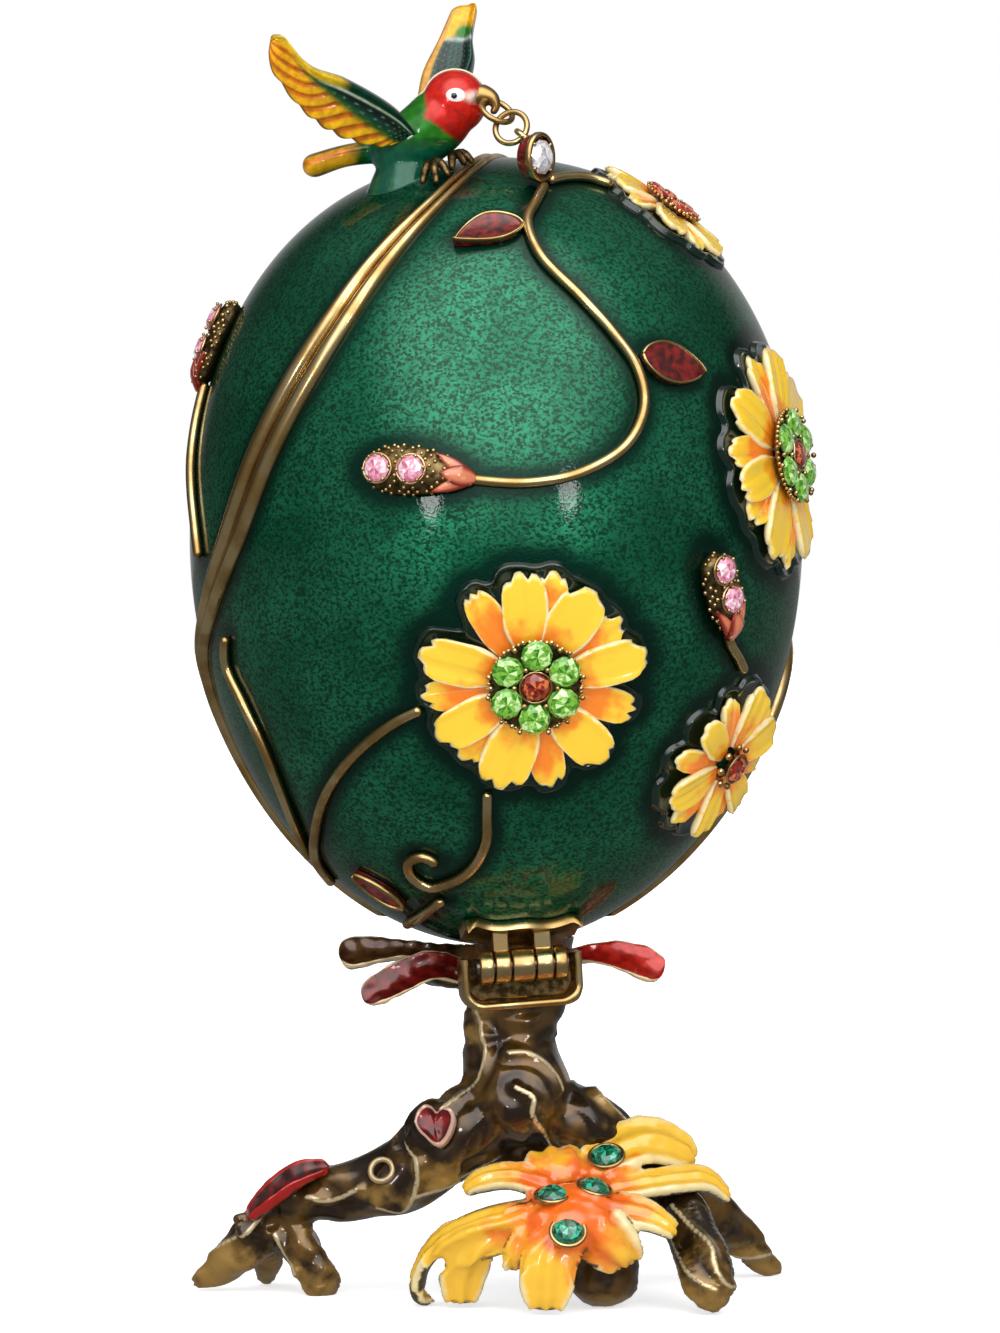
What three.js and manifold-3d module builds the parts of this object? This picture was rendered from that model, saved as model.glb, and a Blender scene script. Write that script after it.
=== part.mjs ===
// Egg trinket box on a tree-root stand: an enamelled egg that opens on a hinge at its foot,
// with a bird, flowers, buds and vines soldered on. Millimetres, +Z up, -Y towards the viewer.
import * as THREE from 'three';
import { mergeVertices } from 'three/addons/utils/BufferGeometryUtils.js';
import Module from 'manifold-3d';

const wasm = await Module();
wasm.setup();

// Middle of the object's box, seen from the egg's axis
const footprintMiddle = new THREE.Vector2(0.3, -1.0);

// Egg
const eggRadius = 34.7;
const eggWidestHeight = 86.0;
const eggTopRise = 43.2;
const eggTopPower = 2.2;
const eggBottomDrop = 46.0;
const eggBottomPower = 1.95;
const eggTop = eggWidestHeight + eggTopRise;
const eggFoot = eggWidestHeight - eggBottomDrop;
const wallThickness = 1.7;
const shellFacets = 30;
const shellRings = 16;
const liningFacets = 20;
const liningRings = 10;

// Seam between the two halves, and its two gold rims
const seamGap = 0.36;
const rimWidth = 1.5;
const rimHeight = 0.95;
// Seam angle about the egg's axis, from the viewer's side towards +X, against the share of height.
// A share of height is 0 at the egg's widest circle, 1 at its top and -1 at its foot.
const seamCourse = [
  [0.995, -11], [0.764, -26], [0.509, -37], [0.231, -48], [0, -57],
  [-0.174, -69], [-0.326, -85], [-0.435, -90], [-1.043, -90],
];

// Fits
const solderGap = 0.2;
const runningGap = 0.3;

// Hinge at the foot of the door
const hingeCentre = new THREE.Vector3(2.9, -12.0, eggFoot - 1.4);
const hingeTurn = 10;
const hingeSlope = 3.5;
const barrelRadius = 1.9;
const pinRadius = 0.8;
const boreRadius = 0.95;
const knuckleEnds = [-5.05, -3.3, -1.35, 1.35, 3.45, 5.05];
const knuckleGap = 0.25;
const trayHalfWidth = 6.85;
const trayTop = 1.0;
const trayBottom = -4.9;
const trayBack = -3.3;
const trayFloor = -2.25;
const trayFront = 0.3;
const trayBorder = 0.9;
const lipBack = -3.2;
const lipFront = 0.8;
const lipThickness = 1.2;

// Ornament
const vineRadius = 0.52;
const vineFacets = 6;
const budThickness = 1.35;
const stoneLift = 2.0;
const chatonRadius = 1.62;
const emeraldRadius = 1.75;
const pinkRadius = 1.5;
const wireRadius = 0.34;
const linkRadius = 1.85;
const bailRadius = 0.95;

const gold = { color: 0xb9985a, roughness: 0.32, metalness: 1 };
const bronze = { color: 0x3b2c14, roughness: 0.3, metalness: 0.6 };
const greenEnamel = { color: 0x0f5a35, roughness: 0.15, metalness: 0.1 };
const redEnamel = { color: 0x6e0f12, roughness: 0.15, metalness: 0.1 };
const yellowEnamel = { color: 0xf5a524, roughness: 0.2, metalness: 0.1 };
const birdEnamel = { color: 0x1f7a1c, roughness: 0.15, metalness: 0.1 };
const greenStone = { color: 0x8cc63f, roughness: 0.05, metalness: 0 };
const brownStone = { color: 0x7a2c10, roughness: 0.05, metalness: 0 };
const pinkStone = { color: 0xf2a5b8, roughness: 0.05, metalness: 0 };
const emeraldStone = { color: 0x0a7a5a, roughness: 0.05, metalness: 0 };
const clearStone = { color: 0xeef2f5, roughness: 0.03, metalness: 0 };
const steel = { color: 0x8d9096, roughness: 0.35, metalness: 1 };

const mergeReach = 0.08;

const group = new THREE.Group();
group.name = 'egg_trinket_box';

// Solids
function solidOf(geometry) {
  const bare = geometry.clone();
  bare.deleteAttribute('normal');
  bare.deleteAttribute('uv');
  const welded = mergeVertices(bare, 1e-5);
  const mesh = new wasm.Mesh({
    numProp: 3,
    vertProperties: new Float32Array(welded.attributes.position.array),
    triVerts: new Uint32Array(welded.index.array),
  });
  return new wasm.Manifold(mesh);
}

function geometryOf(solid) {
  const mesh = solid.getMesh();
  const geometry = new THREE.BufferGeometry();
  geometry.setAttribute('position', new THREE.BufferAttribute(new Float32Array(mesh.vertProperties), 3));
  geometry.setIndex(new THREE.BufferAttribute(new Uint32Array(mesh.triVerts), 1));
  return geometry;
}

// The largest body of a cut solid, without the slivers and the points a cut leaves close together
function mainBody(solid) {
  let best = null;
  for (const body of solid.simplify(mergeReach).decompose()) {
    if (!best || body.volume() > best.volume()) {
      best = body;
    }
  }
  return best;
}

function joined(solids) {
  let whole = solids[0];
  for (const solid of solids.slice(1)) {
    whole = whole.add(solid);
  }
  return whole;
}

function addPiece(name, solid, look) {
  const geometry = geometryOf(mainBody(solid));
  geometry.computeVertexNormals();
  const mesh = new THREE.Mesh(geometry, new THREE.MeshStandardMaterial(look));
  mesh.name = name;
  group.add(mesh);
  return mesh;
}

// Rows of points, each a closed ring, skinned into one closed body facing out.
// From the side given as turned on, each quad is split along its other diagonal.
function skin(rows, turned = Infinity) {
  const sides = rows[0].length;
  const positions = [];
  for (const row of rows) {
    for (const point of row) {
      positions.push(point.x, point.y, point.z);
    }
  }
  const faces = [];
  for (let i = 0; i + 1 < rows.length; i += 1) {
    for (let j = 0; j < sides; j += 1) {
      const a = i * sides + j;
      const b = i * sides + ((j + 1) % sides);
      if (j < turned) {
        faces.push(a, b, a + sides, b, b + sides, a + sides);
      } else {
        faces.push(a, b, b + sides, a, b + sides, a + sides);
      }
    }
  }
  for (const end of [0, rows.length - 1]) {
    const middle = new THREE.Vector3();
    for (const point of rows[end]) {
      middle.addScaledVector(point, 1 / sides);
    }
    const tip = positions.length / 3;
    positions.push(middle.x, middle.y, middle.z);
    for (let j = 0; j < sides; j += 1) {
      const a = end * sides + j;
      const b = end * sides + ((j + 1) % sides);
      if (end === 0) {
        faces.push(b, a, tip);
      } else {
        faces.push(a, b, tip);
      }
    }
  }
  return closedSolid(positions, faces);
}

// A closed mesh turned to face out, as a solid
function closedSolid(positions, faces) {
  let volume = 0;
  const a = new THREE.Vector3();
  const b = new THREE.Vector3();
  const c = new THREE.Vector3();
  for (let i = 0; i < faces.length; i += 3) {
    a.fromArray(positions, faces[i] * 3);
    b.fromArray(positions, faces[i + 1] * 3);
    c.fromArray(positions, faces[i + 2] * 3);
    volume += a.dot(b.cross(c));
  }
  const order = volume < 0 ? faces.slice().reverse() : faces;
  const geometry = new THREE.BufferGeometry();
  geometry.setAttribute('position', new THREE.Float32BufferAttribute(positions, 3));
  geometry.setIndex(order);
  return solidOf(geometry);
}

// Stations or points given from a height, put there
function raised(stations, height) {
  return stations.map(([x, y, z, ...sizes]) => [x, y, z + height, ...sizes]);
}

// A limb of oval section along stations [x, y, z, half width, half thickness]. Its width lies
// along a given direction, or square to the outward direction that a function gives at each place.
function limb(stations, sides, steps, across, grow = 0) {
  const path = new THREE.CatmullRomCurve3(stations.map((s) => new THREE.Vector3(s[0], s[1], s[2])));
  const sizes = new THREE.CatmullRomCurve3(
    stations.map((s) => new THREE.Vector3(s[3], s.length > 4 ? s[4] : s[3], 0)),
  );
  const rows = [];
  const fixed = across && across.isVector3;
  let wide = fixed ? across.clone() : new THREE.Vector3(0, 1, 0.01);
  for (let i = 0; i <= steps; i += 1) {
    const middle = path.getPoint(i / steps);
    const along = path.getTangent(i / steps);
    const size = sizes.getPoint(i / steps);
    let hint = fixed ? across.clone() : wide;
    if (across && !fixed) {
      hint = new THREE.Vector3().crossVectors(across(middle), along);
    }
    wide = hint.addScaledVector(along, -hint.dot(along)).normalize();
    const thick = new THREE.Vector3().crossVectors(along, wide);
    const row = [];
    for (let j = 0; j < sides; j += 1) {
      const angle = (j / sides) * 2 * Math.PI;
      const u = Math.cos(angle) * (Math.max(size.x, 0.12) + grow);
      const v = Math.sin(angle) * (Math.max(size.y, 0.12) + grow);
      row.push(middle.clone().addScaledVector(wide, u).addScaledVector(thick, v));
    }
    rows.push(row);
  }
  return skin(rows);
}

// A thin blade between a leading edge and a trailing edge, each a list of points
function blade(leading, trailing, thickness, steps, grow = 0) {
  const front = new THREE.CatmullRomCurve3(leading.map((p) => new THREE.Vector3(...p)));
  const back = new THREE.CatmullRomCurve3(trailing.map((p) => new THREE.Vector3(...p)));
  const rows = [];
  for (let i = 0; i <= steps; i += 1) {
    const a = front.getPoint(i / steps);
    const b = back.getPoint(i / steps);
    const along = front.getTangent(i / steps);
    const chord = b.clone().sub(a);
    const face = new THREE.Vector3().crossVectors(along, chord).normalize();
    const half = thickness / 2 + grow;
    const row = [];
    for (const [share, lift] of [[0, 0.3], [0.25, 1], [0.7, 0.8], [1, 0.25]]) {
      row.push(a.clone().addScaledVector(chord, share).addScaledVector(face, lift * half));
    }
    for (const [share, lift] of [[1, 0.25], [0.7, 0.8], [0.25, 1], [0, 0.3]]) {
      row.push(a.clone().addScaledVector(chord, share).addScaledVector(face, -lift * half));
    }
    rows.push(row);
  }
  return skin(rows);
}

// Height of a share of the way from the egg's widest circle to its top, or to its foot if negative
function heightAt(share) {
  return eggWidestHeight + share * (share > 0 ? eggTopRise : eggBottomDrop);
}

// Egg surface: radius at a height, the outward direction, and a place given by angle and share of height
function eggRadiusAt(z, grow) {
  const above = z >= eggWidestHeight;
  const reach = (above ? eggTopRise : eggBottomDrop) + grow;
  const power = above ? eggTopPower : eggBottomPower;
  const share = Math.min(Math.abs(z - eggWidestHeight) / reach, 1);
  return (eggRadius + grow) * (1 - share ** power) ** (1 / power);
}

function eggLevel(point) {
  const above = point.z >= eggWidestHeight;
  const reach = above ? eggTopRise : eggBottomDrop;
  const power = above ? eggTopPower : eggBottomPower;
  const r = Math.hypot(point.x, point.y) / eggRadius;
  const h = Math.abs(point.z - eggWidestHeight) / reach;
  return r ** power + h ** power - 1;
}

function eggNormal(point) {
  const above = point.z >= eggWidestHeight;
  const reach = above ? eggTopRise : eggBottomDrop;
  const power = above ? eggTopPower : eggBottomPower;
  const r = Math.hypot(point.x, point.y);
  const h = point.z - eggWidestHeight;
  const outward = (r / eggRadius) ** (power - 1) / eggRadius;
  const upward = (Math.sign(h) * (Math.abs(h) / reach) ** (power - 1)) / reach;
  return new THREE.Vector3((point.x / r) * outward, (point.y / r) * outward, upward).normalize();
}

function direction(angle) {
  const turn = THREE.MathUtils.degToRad(angle);
  return new THREE.Vector3(Math.sin(turn), -Math.cos(turn), 0);
}

function onEgg(angle, share, lift) {
  const z = heightAt(share);
  const point = direction(angle).multiplyScalar(eggRadiusAt(z, 0));
  point.z = z;
  return point.addScaledVector(eggNormal(point), lift);
}

// A patch of the egg with its own east, north and outward directions
function patchAt(angle, share, turn = 0) {
  const origin = onEgg(angle, share, 0);
  const out = eggNormal(origin);
  const east = direction(angle + 90);
  const north = new THREE.Vector3().crossVectors(out, east).normalize();
  const roll = THREE.MathUtils.degToRad(turn);
  const side = east.clone().multiplyScalar(Math.cos(roll)).addScaledVector(north, Math.sin(roll));
  const ahead = new THREE.Vector3().crossVectors(out, side);
  return { origin, out, side, ahead };
}

// The place on the egg under a patch's own coordinates, lifted off the surface
function draped(patch, u, v, lift) {
  const start = patch.origin.clone().addScaledVector(patch.side, u).addScaledVector(patch.ahead, v);
  let near = -2;
  let far = 12;
  for (let i = 0; i < 30; i += 1) {
    const middle = (near + far) / 2;
    const point = start.clone().addScaledVector(patch.out, -middle);
    if (eggLevel(point) > 0) {
      near = middle;
    } else {
      far = middle;
    }
  }
  const point = start.addScaledVector(patch.out, -far);
  return point.addScaledVector(eggNormal(point), lift);
}

// A plate laid on the egg: outline points, and lifts of its top and underside from middle to edge
function drapedPlate(patch, outline, shares, tops, bottoms) {
  const positions = [];
  const faces = [];
  const count = outline.length;
  const levels = shares.length;
  for (const lifts of [tops, bottoms]) {
    const middle = draped(patch, 0, 0, lifts[0]);
    positions.push(middle.x, middle.y, middle.z);
    for (let k = 1; k < levels; k += 1) {
      for (const [u, v] of outline) {
        const point = draped(patch, u * shares[k], v * shares[k], lifts[k]);
        positions.push(point.x, point.y, point.z);
      }
    }
  }
  const layer = 1 + (levels - 1) * count;
  for (let j = 0; j < count; j += 1) {
    const next = (j + 1) % count;
    for (const [base, up] of [[0, true], [layer, false]]) {
      const push = (a, b, c) => (up ? faces.push(a, b, c) : faces.push(a, c, b));
      push(base, base + 1 + j, base + 1 + next);
      for (let k = 1; k + 1 < levels; k += 1) {
        const a = base + 1 + (k - 1) * count;
        const b = a + count;
        push(a + j, b + j, b + next);
        push(a + j, b + next, a + next);
      }
    }
    const rim = 1 + (levels - 2) * count;
    faces.push(rim + j, layer + rim + j, layer + rim + next);
    faces.push(rim + j, layer + rim + next, rim + next);
  }
  return closedSolid(positions, faces);
}

// Flower outline: petals with a notch in each tip, and a deeper gap between them
function petalOutline(petals, radius, gapDepth, notchDepth, start) {
  const outline = [];
  const marks = [[0, gapDepth], [0.3, 0], [0.72, notchDepth]];
  for (let i = 0; i < petals; i += 1) {
    for (const [share, depth] of marks) {
      const angle = ((i + share) / petals) * 2 * Math.PI + start;
      const reach = radius * (1 - depth);
      outline.push([Math.cos(angle) * reach, Math.sin(angle) * reach]);
    }
  }
  return outline;
}

function flower(patch, petals, radius) {
  const outline = petalOutline(petals, radius, 0.24, 0.05, 0.1);
  return drapedPlate(patch, outline, [0, 0.5, 1], [1.0, 1.1, 1.7], [0.2, 0.2, 0.7]);
}

// A leaf laid on the egg, from its stalk end to its tip along the patch's side direction
function leaf(patch, length, width) {
  const outline = [
    [-length / 2, 0], [-length * 0.3, -width * 0.36], [0, -width / 2], [length * 0.28, -width * 0.38],
    [length / 2, 0], [length * 0.28, width * 0.38], [0, width / 2], [-length * 0.3, width * 0.36],
  ];
  return drapedPlate(patch, outline, [0, 0.6, 1], [1.0, 1.05, 0.85], [0.2, 0.2, 0.2]);
}

// A cut stone with a flat underside, standing on a place and facing a direction
function stone(radius, place, facing, sides = 6) {
  const profile = [
    new THREE.Vector2(0, 0),
    new THREE.Vector2(radius * 0.6, 0),
    new THREE.Vector2(radius, radius * 0.36),
    new THREE.Vector2(radius * 0.62, radius * 0.74),
    new THREE.Vector2(0, radius * 0.74),
  ];
  const geometry = new THREE.LatheGeometry(profile, sides);
  return placedOn(geometry, place, facing);
}

// A round seat for a stone, cut a little wider than the stone
function seat(radius, place, facing, depth) {
  const geometry = new THREE.CylinderGeometry(radius, radius, depth * 2, 12);
  return placedOn(geometry, place, facing);
}

function placedOn(geometry, place, facing) {
  const turn = new THREE.Quaternion().setFromUnitVectors(new THREE.Vector3(0, 1, 0), facing);
  geometry.applyQuaternion(turn);
  geometry.translate(place.x, place.y, place.z);
  return solidOf(geometry);
}

// A ring of stones in one beaded setting
function stoneRing(patch, count, ringRadius, stoneRadius, lift) {
  const inner = ringRadius - stoneRadius * 0.55;
  const outer = ringRadius + stoneRadius * 0.7;
  const profile = [
    new THREE.Vector2(inner, 0),
    new THREE.Vector2(outer, 0),
    new THREE.Vector2(outer, 0.5),
    new THREE.Vector2(inner, 0.5),
    new THREE.Vector2(inner, 0),
  ];
  const base = patch.origin.clone().addScaledVector(patch.out, lift);
  const solids = [placedOn(new THREE.LatheGeometry(profile, 12), base, patch.out)];
  for (let i = 0; i < count; i += 1) {
    const angle = (i / count) * 2 * Math.PI + Math.PI / 2;
    const place = base.clone().addScaledVector(patch.out, 0.3);
    place.addScaledVector(patch.side, Math.cos(angle) * ringRadius);
    place.addScaledVector(patch.ahead, Math.sin(angle) * ringRadius);
    solids.push(stone(stoneRadius, place, patch.out));
  }
  return joined(solids);
}

// A vine over the egg through places [angle, share of height], or with a half width as a third value
function vine(places, steps) {
  const stations = places.map(([angle, share, radius = vineRadius]) => {
    const thickness = Math.min(radius, budThickness);
    const point = onEgg(angle, share, solderGap + thickness);
    return [point.x, point.y, point.z, radius, thickness];
  });
  return limb(stations, vineFacets, steps, eggNormal);
}

// The egg's body at an offset, turned from its profile
function eggBody(grow, facets = shellFacets, rings = shellRings) {
  const profile = [];
  const top = eggTop + grow;
  const bottom = eggFoot - grow;
  for (let i = 0; i <= rings; i += 1) {
    const turn = (i / rings) * Math.PI;
    const reach = turn < Math.PI / 2 ? eggWidestHeight - bottom : top - eggWidestHeight;
    const z = eggWidestHeight - Math.cos(turn) * reach;
    const r = i === 0 || i === rings ? 0 : eggRadiusAt(z, grow);
    profile.push(new THREE.Vector2(r, z));
  }
  const geometry = new THREE.LatheGeometry(profile, facets);
  geometry.rotateX(Math.PI / 2);
  return solidOf(geometry);
}

// Seam angle at a height, eased through the few heights of its course
const seamCurve = new THREE.CatmullRomCurve3(
  seamCourse.map(([share, angle]) => new THREE.Vector3(heightAt(share), angle, 0)),
);

function seamAngle(z) {
  let low = 0;
  let high = 1;
  for (let i = 0; i < 24; i += 1) {
    const middle = (low + high) / 2;
    if (seamCurve.getPoint(middle).x > z) {
      low = middle;
    } else {
      high = middle;
    }
  }
  return seamCurve.getPoint(low).y;
}

// Shares of height at which the seam's twisted surface is drawn
const seamRows = [
  -1.043, -0.435, -0.391, -0.348, -0.304, -0.261, -0.217, -0.174, -0.12, -0.065,
  0, 0.093, 0.208, 0.324, 0.44, 0.556, 0.671, 0.787, 0.903, 1.111,
];

// The twisted space on one side of the seam, between two distances from it
function besideSeam(sign, near, far) {
  const reach = 44;
  const rows = [];
  for (const share of seamRows) {
    const z = heightAt(share);
    const along = direction(seamAngle(Math.min(z, eggTop)));
    const aside = new THREE.Vector3(-along.y, along.x, 0).multiplyScalar(sign);
    const row = [];
    for (const [u, v] of [[-reach, near], [0, near], [reach, near], [reach, far], [0, far], [-reach, far]]) {
      row.push(new THREE.Vector3(0, 0, z).addScaledVector(along, u).addScaledVector(aside, v));
    }
    rows.push(row);
  }
  return skin(rows, 2);
}

const doorSide = 1;
const backSide = -1;
const wholeShell = eggBody(0).subtract(eggBody(-wallThickness, liningFacets, liningRings));
const rimLayer = eggBody(solderGap + rimHeight).subtract(eggBody(solderGap));
const eggClear = eggBody(solderGap);

// Stand: trunk, roots and toes as one casting
const trunk = [
  [2.0, -1.6, 1.2 * eggFoot, 7.0, 6.6], [2.0, -1.6, 0.95 * eggFoot, 6.9, 6.6],
  [2.0, -1.6, 0.85 * eggFoot, 5.5, 5.9], [1.8, -2, 0.72 * eggFoot, 5.1, 5.3],
  [2.5, -3, 0.6 * eggFoot, 6.8, 6.2], [3.3, -4, 0.44 * eggFoot, 8.6, 6.6],
];
const standLimbs = [
  trunk,
  [[0.5, -4, 21.7, 6.2], [-5.2, -4, 18.0, 4.7], [-10.9, -2, 13.6, 4.1], [-17.7, 0, 11.9, 3.4],
    [-22.3, 1, 11.0, 3.1], [-26.0, 2, 8.2, 2.4]],
  [[-24.8, 2, 9.6, 2.7], [-28.6, 3, 5.2, 2.6], [-32.4, 4, 2.0, 2.3, 2.2], [-35.2, 4, 0.8, 1.0]],
  [[-24.6, 2, 8.4, 2.5], [-21.9, 1, 4.6, 2.3], [-19.8, 0.6, 1.6, 2.3], [-19.2, 0.6, -0.6, 1.6]],
  [[-26.1, 4, 6.4, 1.6], [-26.4, 8, 3.0, 1.5], [-26.6, 10.4, 0.6, 0.9]],
  [[-26.4, 1, 8.6, 1.5], [-29.4, 0, 7.9, 1.5], [-30.2, 0, 7.6, 0.8]],
  [[5.0, -4, 21.7, 5.6], [11.8, -2, 18.1, 4.1], [17.4, -3, 13.6, 3.2], [21.4, -9, 9.0, 2.9],
    [23.9, -16, 3.2, 2.8], [24.4, -17.5, 0.4, 1.7]],
  [[10.5, 0, 18.4, 4.0], [20.0, 8, 12.2, 3.1], [27.1, 14, 6.1, 2.5], [31.4, 18, 1.4, 1.6],
    [33.0, 19, 0.3, 0.7]],
  [[-4.0, -5, 20.6, 2.2], [-7.4, -6, 19.8, 2.9], [-9.6, -5, 17.2, 2.0]],
  [[-2.5, -1.5, 17.6, 3.0], [2.0, -1, 16.9, 2.9], [7.5, -1, 17.0, 2.8], [11.5, -1, 17.6, 2.2]],
];

function standBody(grow) {
  const solids = standLimbs.map((stations) => limb(stations, 8, 2 * (stations.length - 1), null, grow));
  return joined(solids);
}

const floorBlock = solidOf(new THREE.BoxGeometry(200, 200, 40).translate(0, 0, -20));
const standClear = standBody(solderGap);

// Hinge frame: along the pin, up, and outward
function hingeFrame() {
  const turn = THREE.MathUtils.degToRad(hingeTurn);
  const slope = THREE.MathUtils.degToRad(hingeSlope);
  const along = new THREE.Vector3(
    Math.cos(turn) * Math.cos(slope),
    Math.sin(turn) * Math.cos(slope),
    Math.sin(slope),
  );
  const out = new THREE.Vector3(Math.sin(turn), -Math.cos(turn), 0);
  const up = new THREE.Vector3().crossVectors(out, along);
  return new THREE.Matrix4().makeBasis(along, up, out).setPosition(hingeCentre);
}

const hingePlace = hingeFrame();

function hingeSolid(geometry) {
  geometry.applyMatrix4(hingePlace);
  return solidOf(geometry);
}

function hingeBox(left, right, bottom, top, back, front) {
  const geometry = new THREE.BoxGeometry(right - left, top - bottom, front - back);
  geometry.translate((left + right) / 2, (bottom + top) / 2, (back + front) / 2);
  return hingeSolid(geometry);
}

function hingeRod(radius, left, right, sides) {
  const geometry = new THREE.CylinderGeometry(radius, radius, right - left, sides);
  geometry.rotateZ(Math.PI / 2);
  geometry.translate((left + right) / 2, 0, 0);
  return hingeSolid(geometry);
}

function trayShape(inset, top) {
  const side = trayHalfWidth - inset;
  const low = trayBottom + inset;
  const corner = 2.2 - inset * 0.6;
  const shape = new THREE.Shape();
  shape.moveTo(-side, top);
  shape.lineTo(-side, low + corner);
  shape.quadraticCurveTo(-side, low, -side + corner, low);
  shape.lineTo(side - corner, low);
  shape.quadraticCurveTo(side, low, side, low + corner);
  shape.lineTo(side, top);
  shape.closePath();
  return shape;
}

function traySlab(inset, top, back, front) {
  const options = { depth: front - back, bevelEnabled: false, curveSegments: 4 };
  const geometry = new THREE.ExtrudeGeometry(trayShape(inset, top), options);
  geometry.translate(0, 0, back);
  return hingeSolid(geometry);
}

function knuckle(index, bottom, top, back, front) {
  const left = knuckleEnds[index] + knuckleGap / 2;
  const right = knuckleEnds[index + 1] - knuckleGap / 2;
  const web = hingeBox(left, right, bottom, top, back, front);
  return hingeRod(barrelRadius, left, right, 12).add(web);
}

const bore = hingeRod(boreRadius, -6, 6, 12);
const trayRecess = traySlab(trayBorder, trayTop + 1, trayFloor, trayFront + 1);
let lowerLeaf = traySlab(0, trayTop, trayBack, trayFront).subtract(trayRecess);
for (const index of [0, 2, 4]) {
  lowerLeaf = lowerLeaf.add(knuckle(index, -1.4, 0.9, trayFloor - 0.3, -0.2));
}
lowerLeaf = lowerLeaf.subtract(bore);

const lipBox = hingeBox(-6.6, 6.6, 1.5, 9, lipBack, lipFront);
const lipLayer = eggBody(solderGap + lipThickness).subtract(eggClear);
let upperLeaf = lipLayer.intersect(lipBox);
for (const index of [1, 3]) {
  upperLeaf = upperLeaf.add(knuckle(index, 0.2, 5.2, -1.2, 0.7).subtract(eggClear));
}
upperLeaf = upperLeaf.subtract(bore);

const hingeClear = hingeBox(-7.2, 7.2, -5.3, 9, trayBack - runningGap, 6);
let stand = standBody(0).subtract(eggBody(runningGap)).subtract(floorBlock).subtract(hingeClear);

// Leaves round the trunk's top and on the roots
const crownLeaves = {
  crown_leaf_brown: [[[-3.0, -2.5, -1.4, 1.6, 1.0], [-7.4, -4, -0.6, 2.1, 1.0], [-11.9, -5, -0.2, 2.2, 1.0],
    [-16.0, -6, -0.1, 1.9, 1.1], [-17.4, -6.2, -0.4, 0.8, 0.7]], [0, 1, 0.35]],
  crown_leaf_dark_red: [[[-3.2, -5.5, -3.4, 1.5, 1.1], [-7.9, -8, -2.6, 2.2, 1.1],
    [-12.2, -9.6, -3.4, 2.2, 1.1], [-14.6, -10, -4.6, 1.2, 0.9]], [0, 0.6, 1]],
  crown_leaf_red: [[[7.4, -3, -1.6, 1.2, 0.9], [12.2, -5, -0.1, 2.1, 1.0], [16.4, -6, -0.6, 2.2, 1.0],
    [18.8, -6.2, -2.4, 1.1, 0.9]], [0, 1, 0.3]],
};
const rootLeaves = {
  root_leaf_knee: [[-6.8, -8.4, 22.4, 1.2, 1.2], [-7.0, -9.0, 20.2, 2.2, 1.2], [-6.4, -8.8, 18.2, 0.8, 0.8]],
  root_leaf_long: [[-19.2, -2.2, 14.6, 0.8, 0.9], [-22.7, -1.8, 13.4, 1.7, 1.5],
    [-26.3, -1.4, 10.9, 1.6, 1.5], [-28.2, -1.4, 9.3, 0.6, 0.7]],
};

// Foot flower: a curled leaf with many lobes, lying over the front of the roots
const footLobes = [
  [[[8.4, -11, 12.6, 4.6, 2.6], [8.0, -15, 11.4, 5.0, 2.4], [8.2, -18.5, 9.0, 3.8, 1.6]], [1, 0, 0.1]],
  [[[6.4, -13.5, 11.4, 2.6, 1.6], [-1.0, -14, 10.2, 2.6, 1.4], [-5.8, -12.4, 8.0, 2.4, 1.2],
    [-8.4, -10.4, 4.6, 1.9, 1.0], [-8.6, -8.8, 1.2, 1.6, 0.9], [-7.2, -8, 0.6, 0.9, 0.7]], [0, 1, 0.2]],
  [[[0.6, -14.6, 10.0, 2.6, 1.3], [-2.4, -13.6, 7.4, 2.7, 1.3], [-3.7, -12, 3.8, 2.6, 1.2],
    [-4.0, -11, 0.4, 1.7, 0.9]], [1, 0, 0.3]],
  [[[7.2, -16.5, 10.0, 3.8, 1.5], [5.9, -18, 6.2, 3.3, 1.3], [5.6, -17.8, 2.8, 2.9, 1.1],
    [5.5, -17, 0.4, 1.6, 0.9]], [1, 0, 0]],
  [[[4.6, -15.6, 9.0, 2.2, 1.2], [2.4, -16, 6.8, 1.9, 1.1], [2.1, -15.4, 4.7, 1.0, 0.8]], [1, 0.3, 0]],
  [[[6.4, -11, 13.6, 2.4, 1.3], [1.8, -9.4, 14.6, 1.9, 1.1], [-2.0, -8.6, 13.8, 1.6, 1.0],
    [-3.6, -8.6, 12.6, 0.8, 0.7]], [0, 0.8, 0.6]],
  [[[7.4, -10, 13.2, 4.2, 1.8], [6.4, -7.6, 16.2, 3.5, 1.6], [5.9, -6, 17.4, 2.0, 1.0]], [1, 0, 0]],
  [[[10.6, -9.6, 13.8, 3.0, 1.5], [12.8, -7, 16.6, 3.4, 1.4], [16.9, -5.4, 18.2, 3.3, 1.3],
    [20.7, -4, 17.0, 2.6, 1.2], [22.4, -3.4, 15.2, 1.4, 0.9]], [0.2, 0.8, 0.7]],
  [[[12.0, -11, 12.8, 2.4, 1.4], [19.0, -9, 13.9, 2.2, 1.2], [23.6, -7, 13.9, 2.0, 1.1],
    [26.4, -6, 11.7, 1.1, 0.8]], [0, 1, 0.5]],
  [[[11.2, -14, 11.4, 2.8, 1.4], [16.6, -15, 10.8, 2.3, 1.2], [20.2, -15, 8.8, 1.2, 0.8]], [0, 0.8, 0.6]],
  [[[10.4, -16.4, 10.2, 4.0, 1.6], [13.2, -16.4, 7.2, 3.4, 1.3], [14.8, -15.4, 5.2, 1.8, 0.9]],
    [0.9, -0.4, 0.6]],
  [[[2.6, -14.4, 9.8, 2.6, 1.2], [-2.4, -13.8, 8.2, 2.9, 1.2], [-5.6, -12.4, 5.8, 2.3, 1.1]], [0, 0.3, 1]],
];

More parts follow.
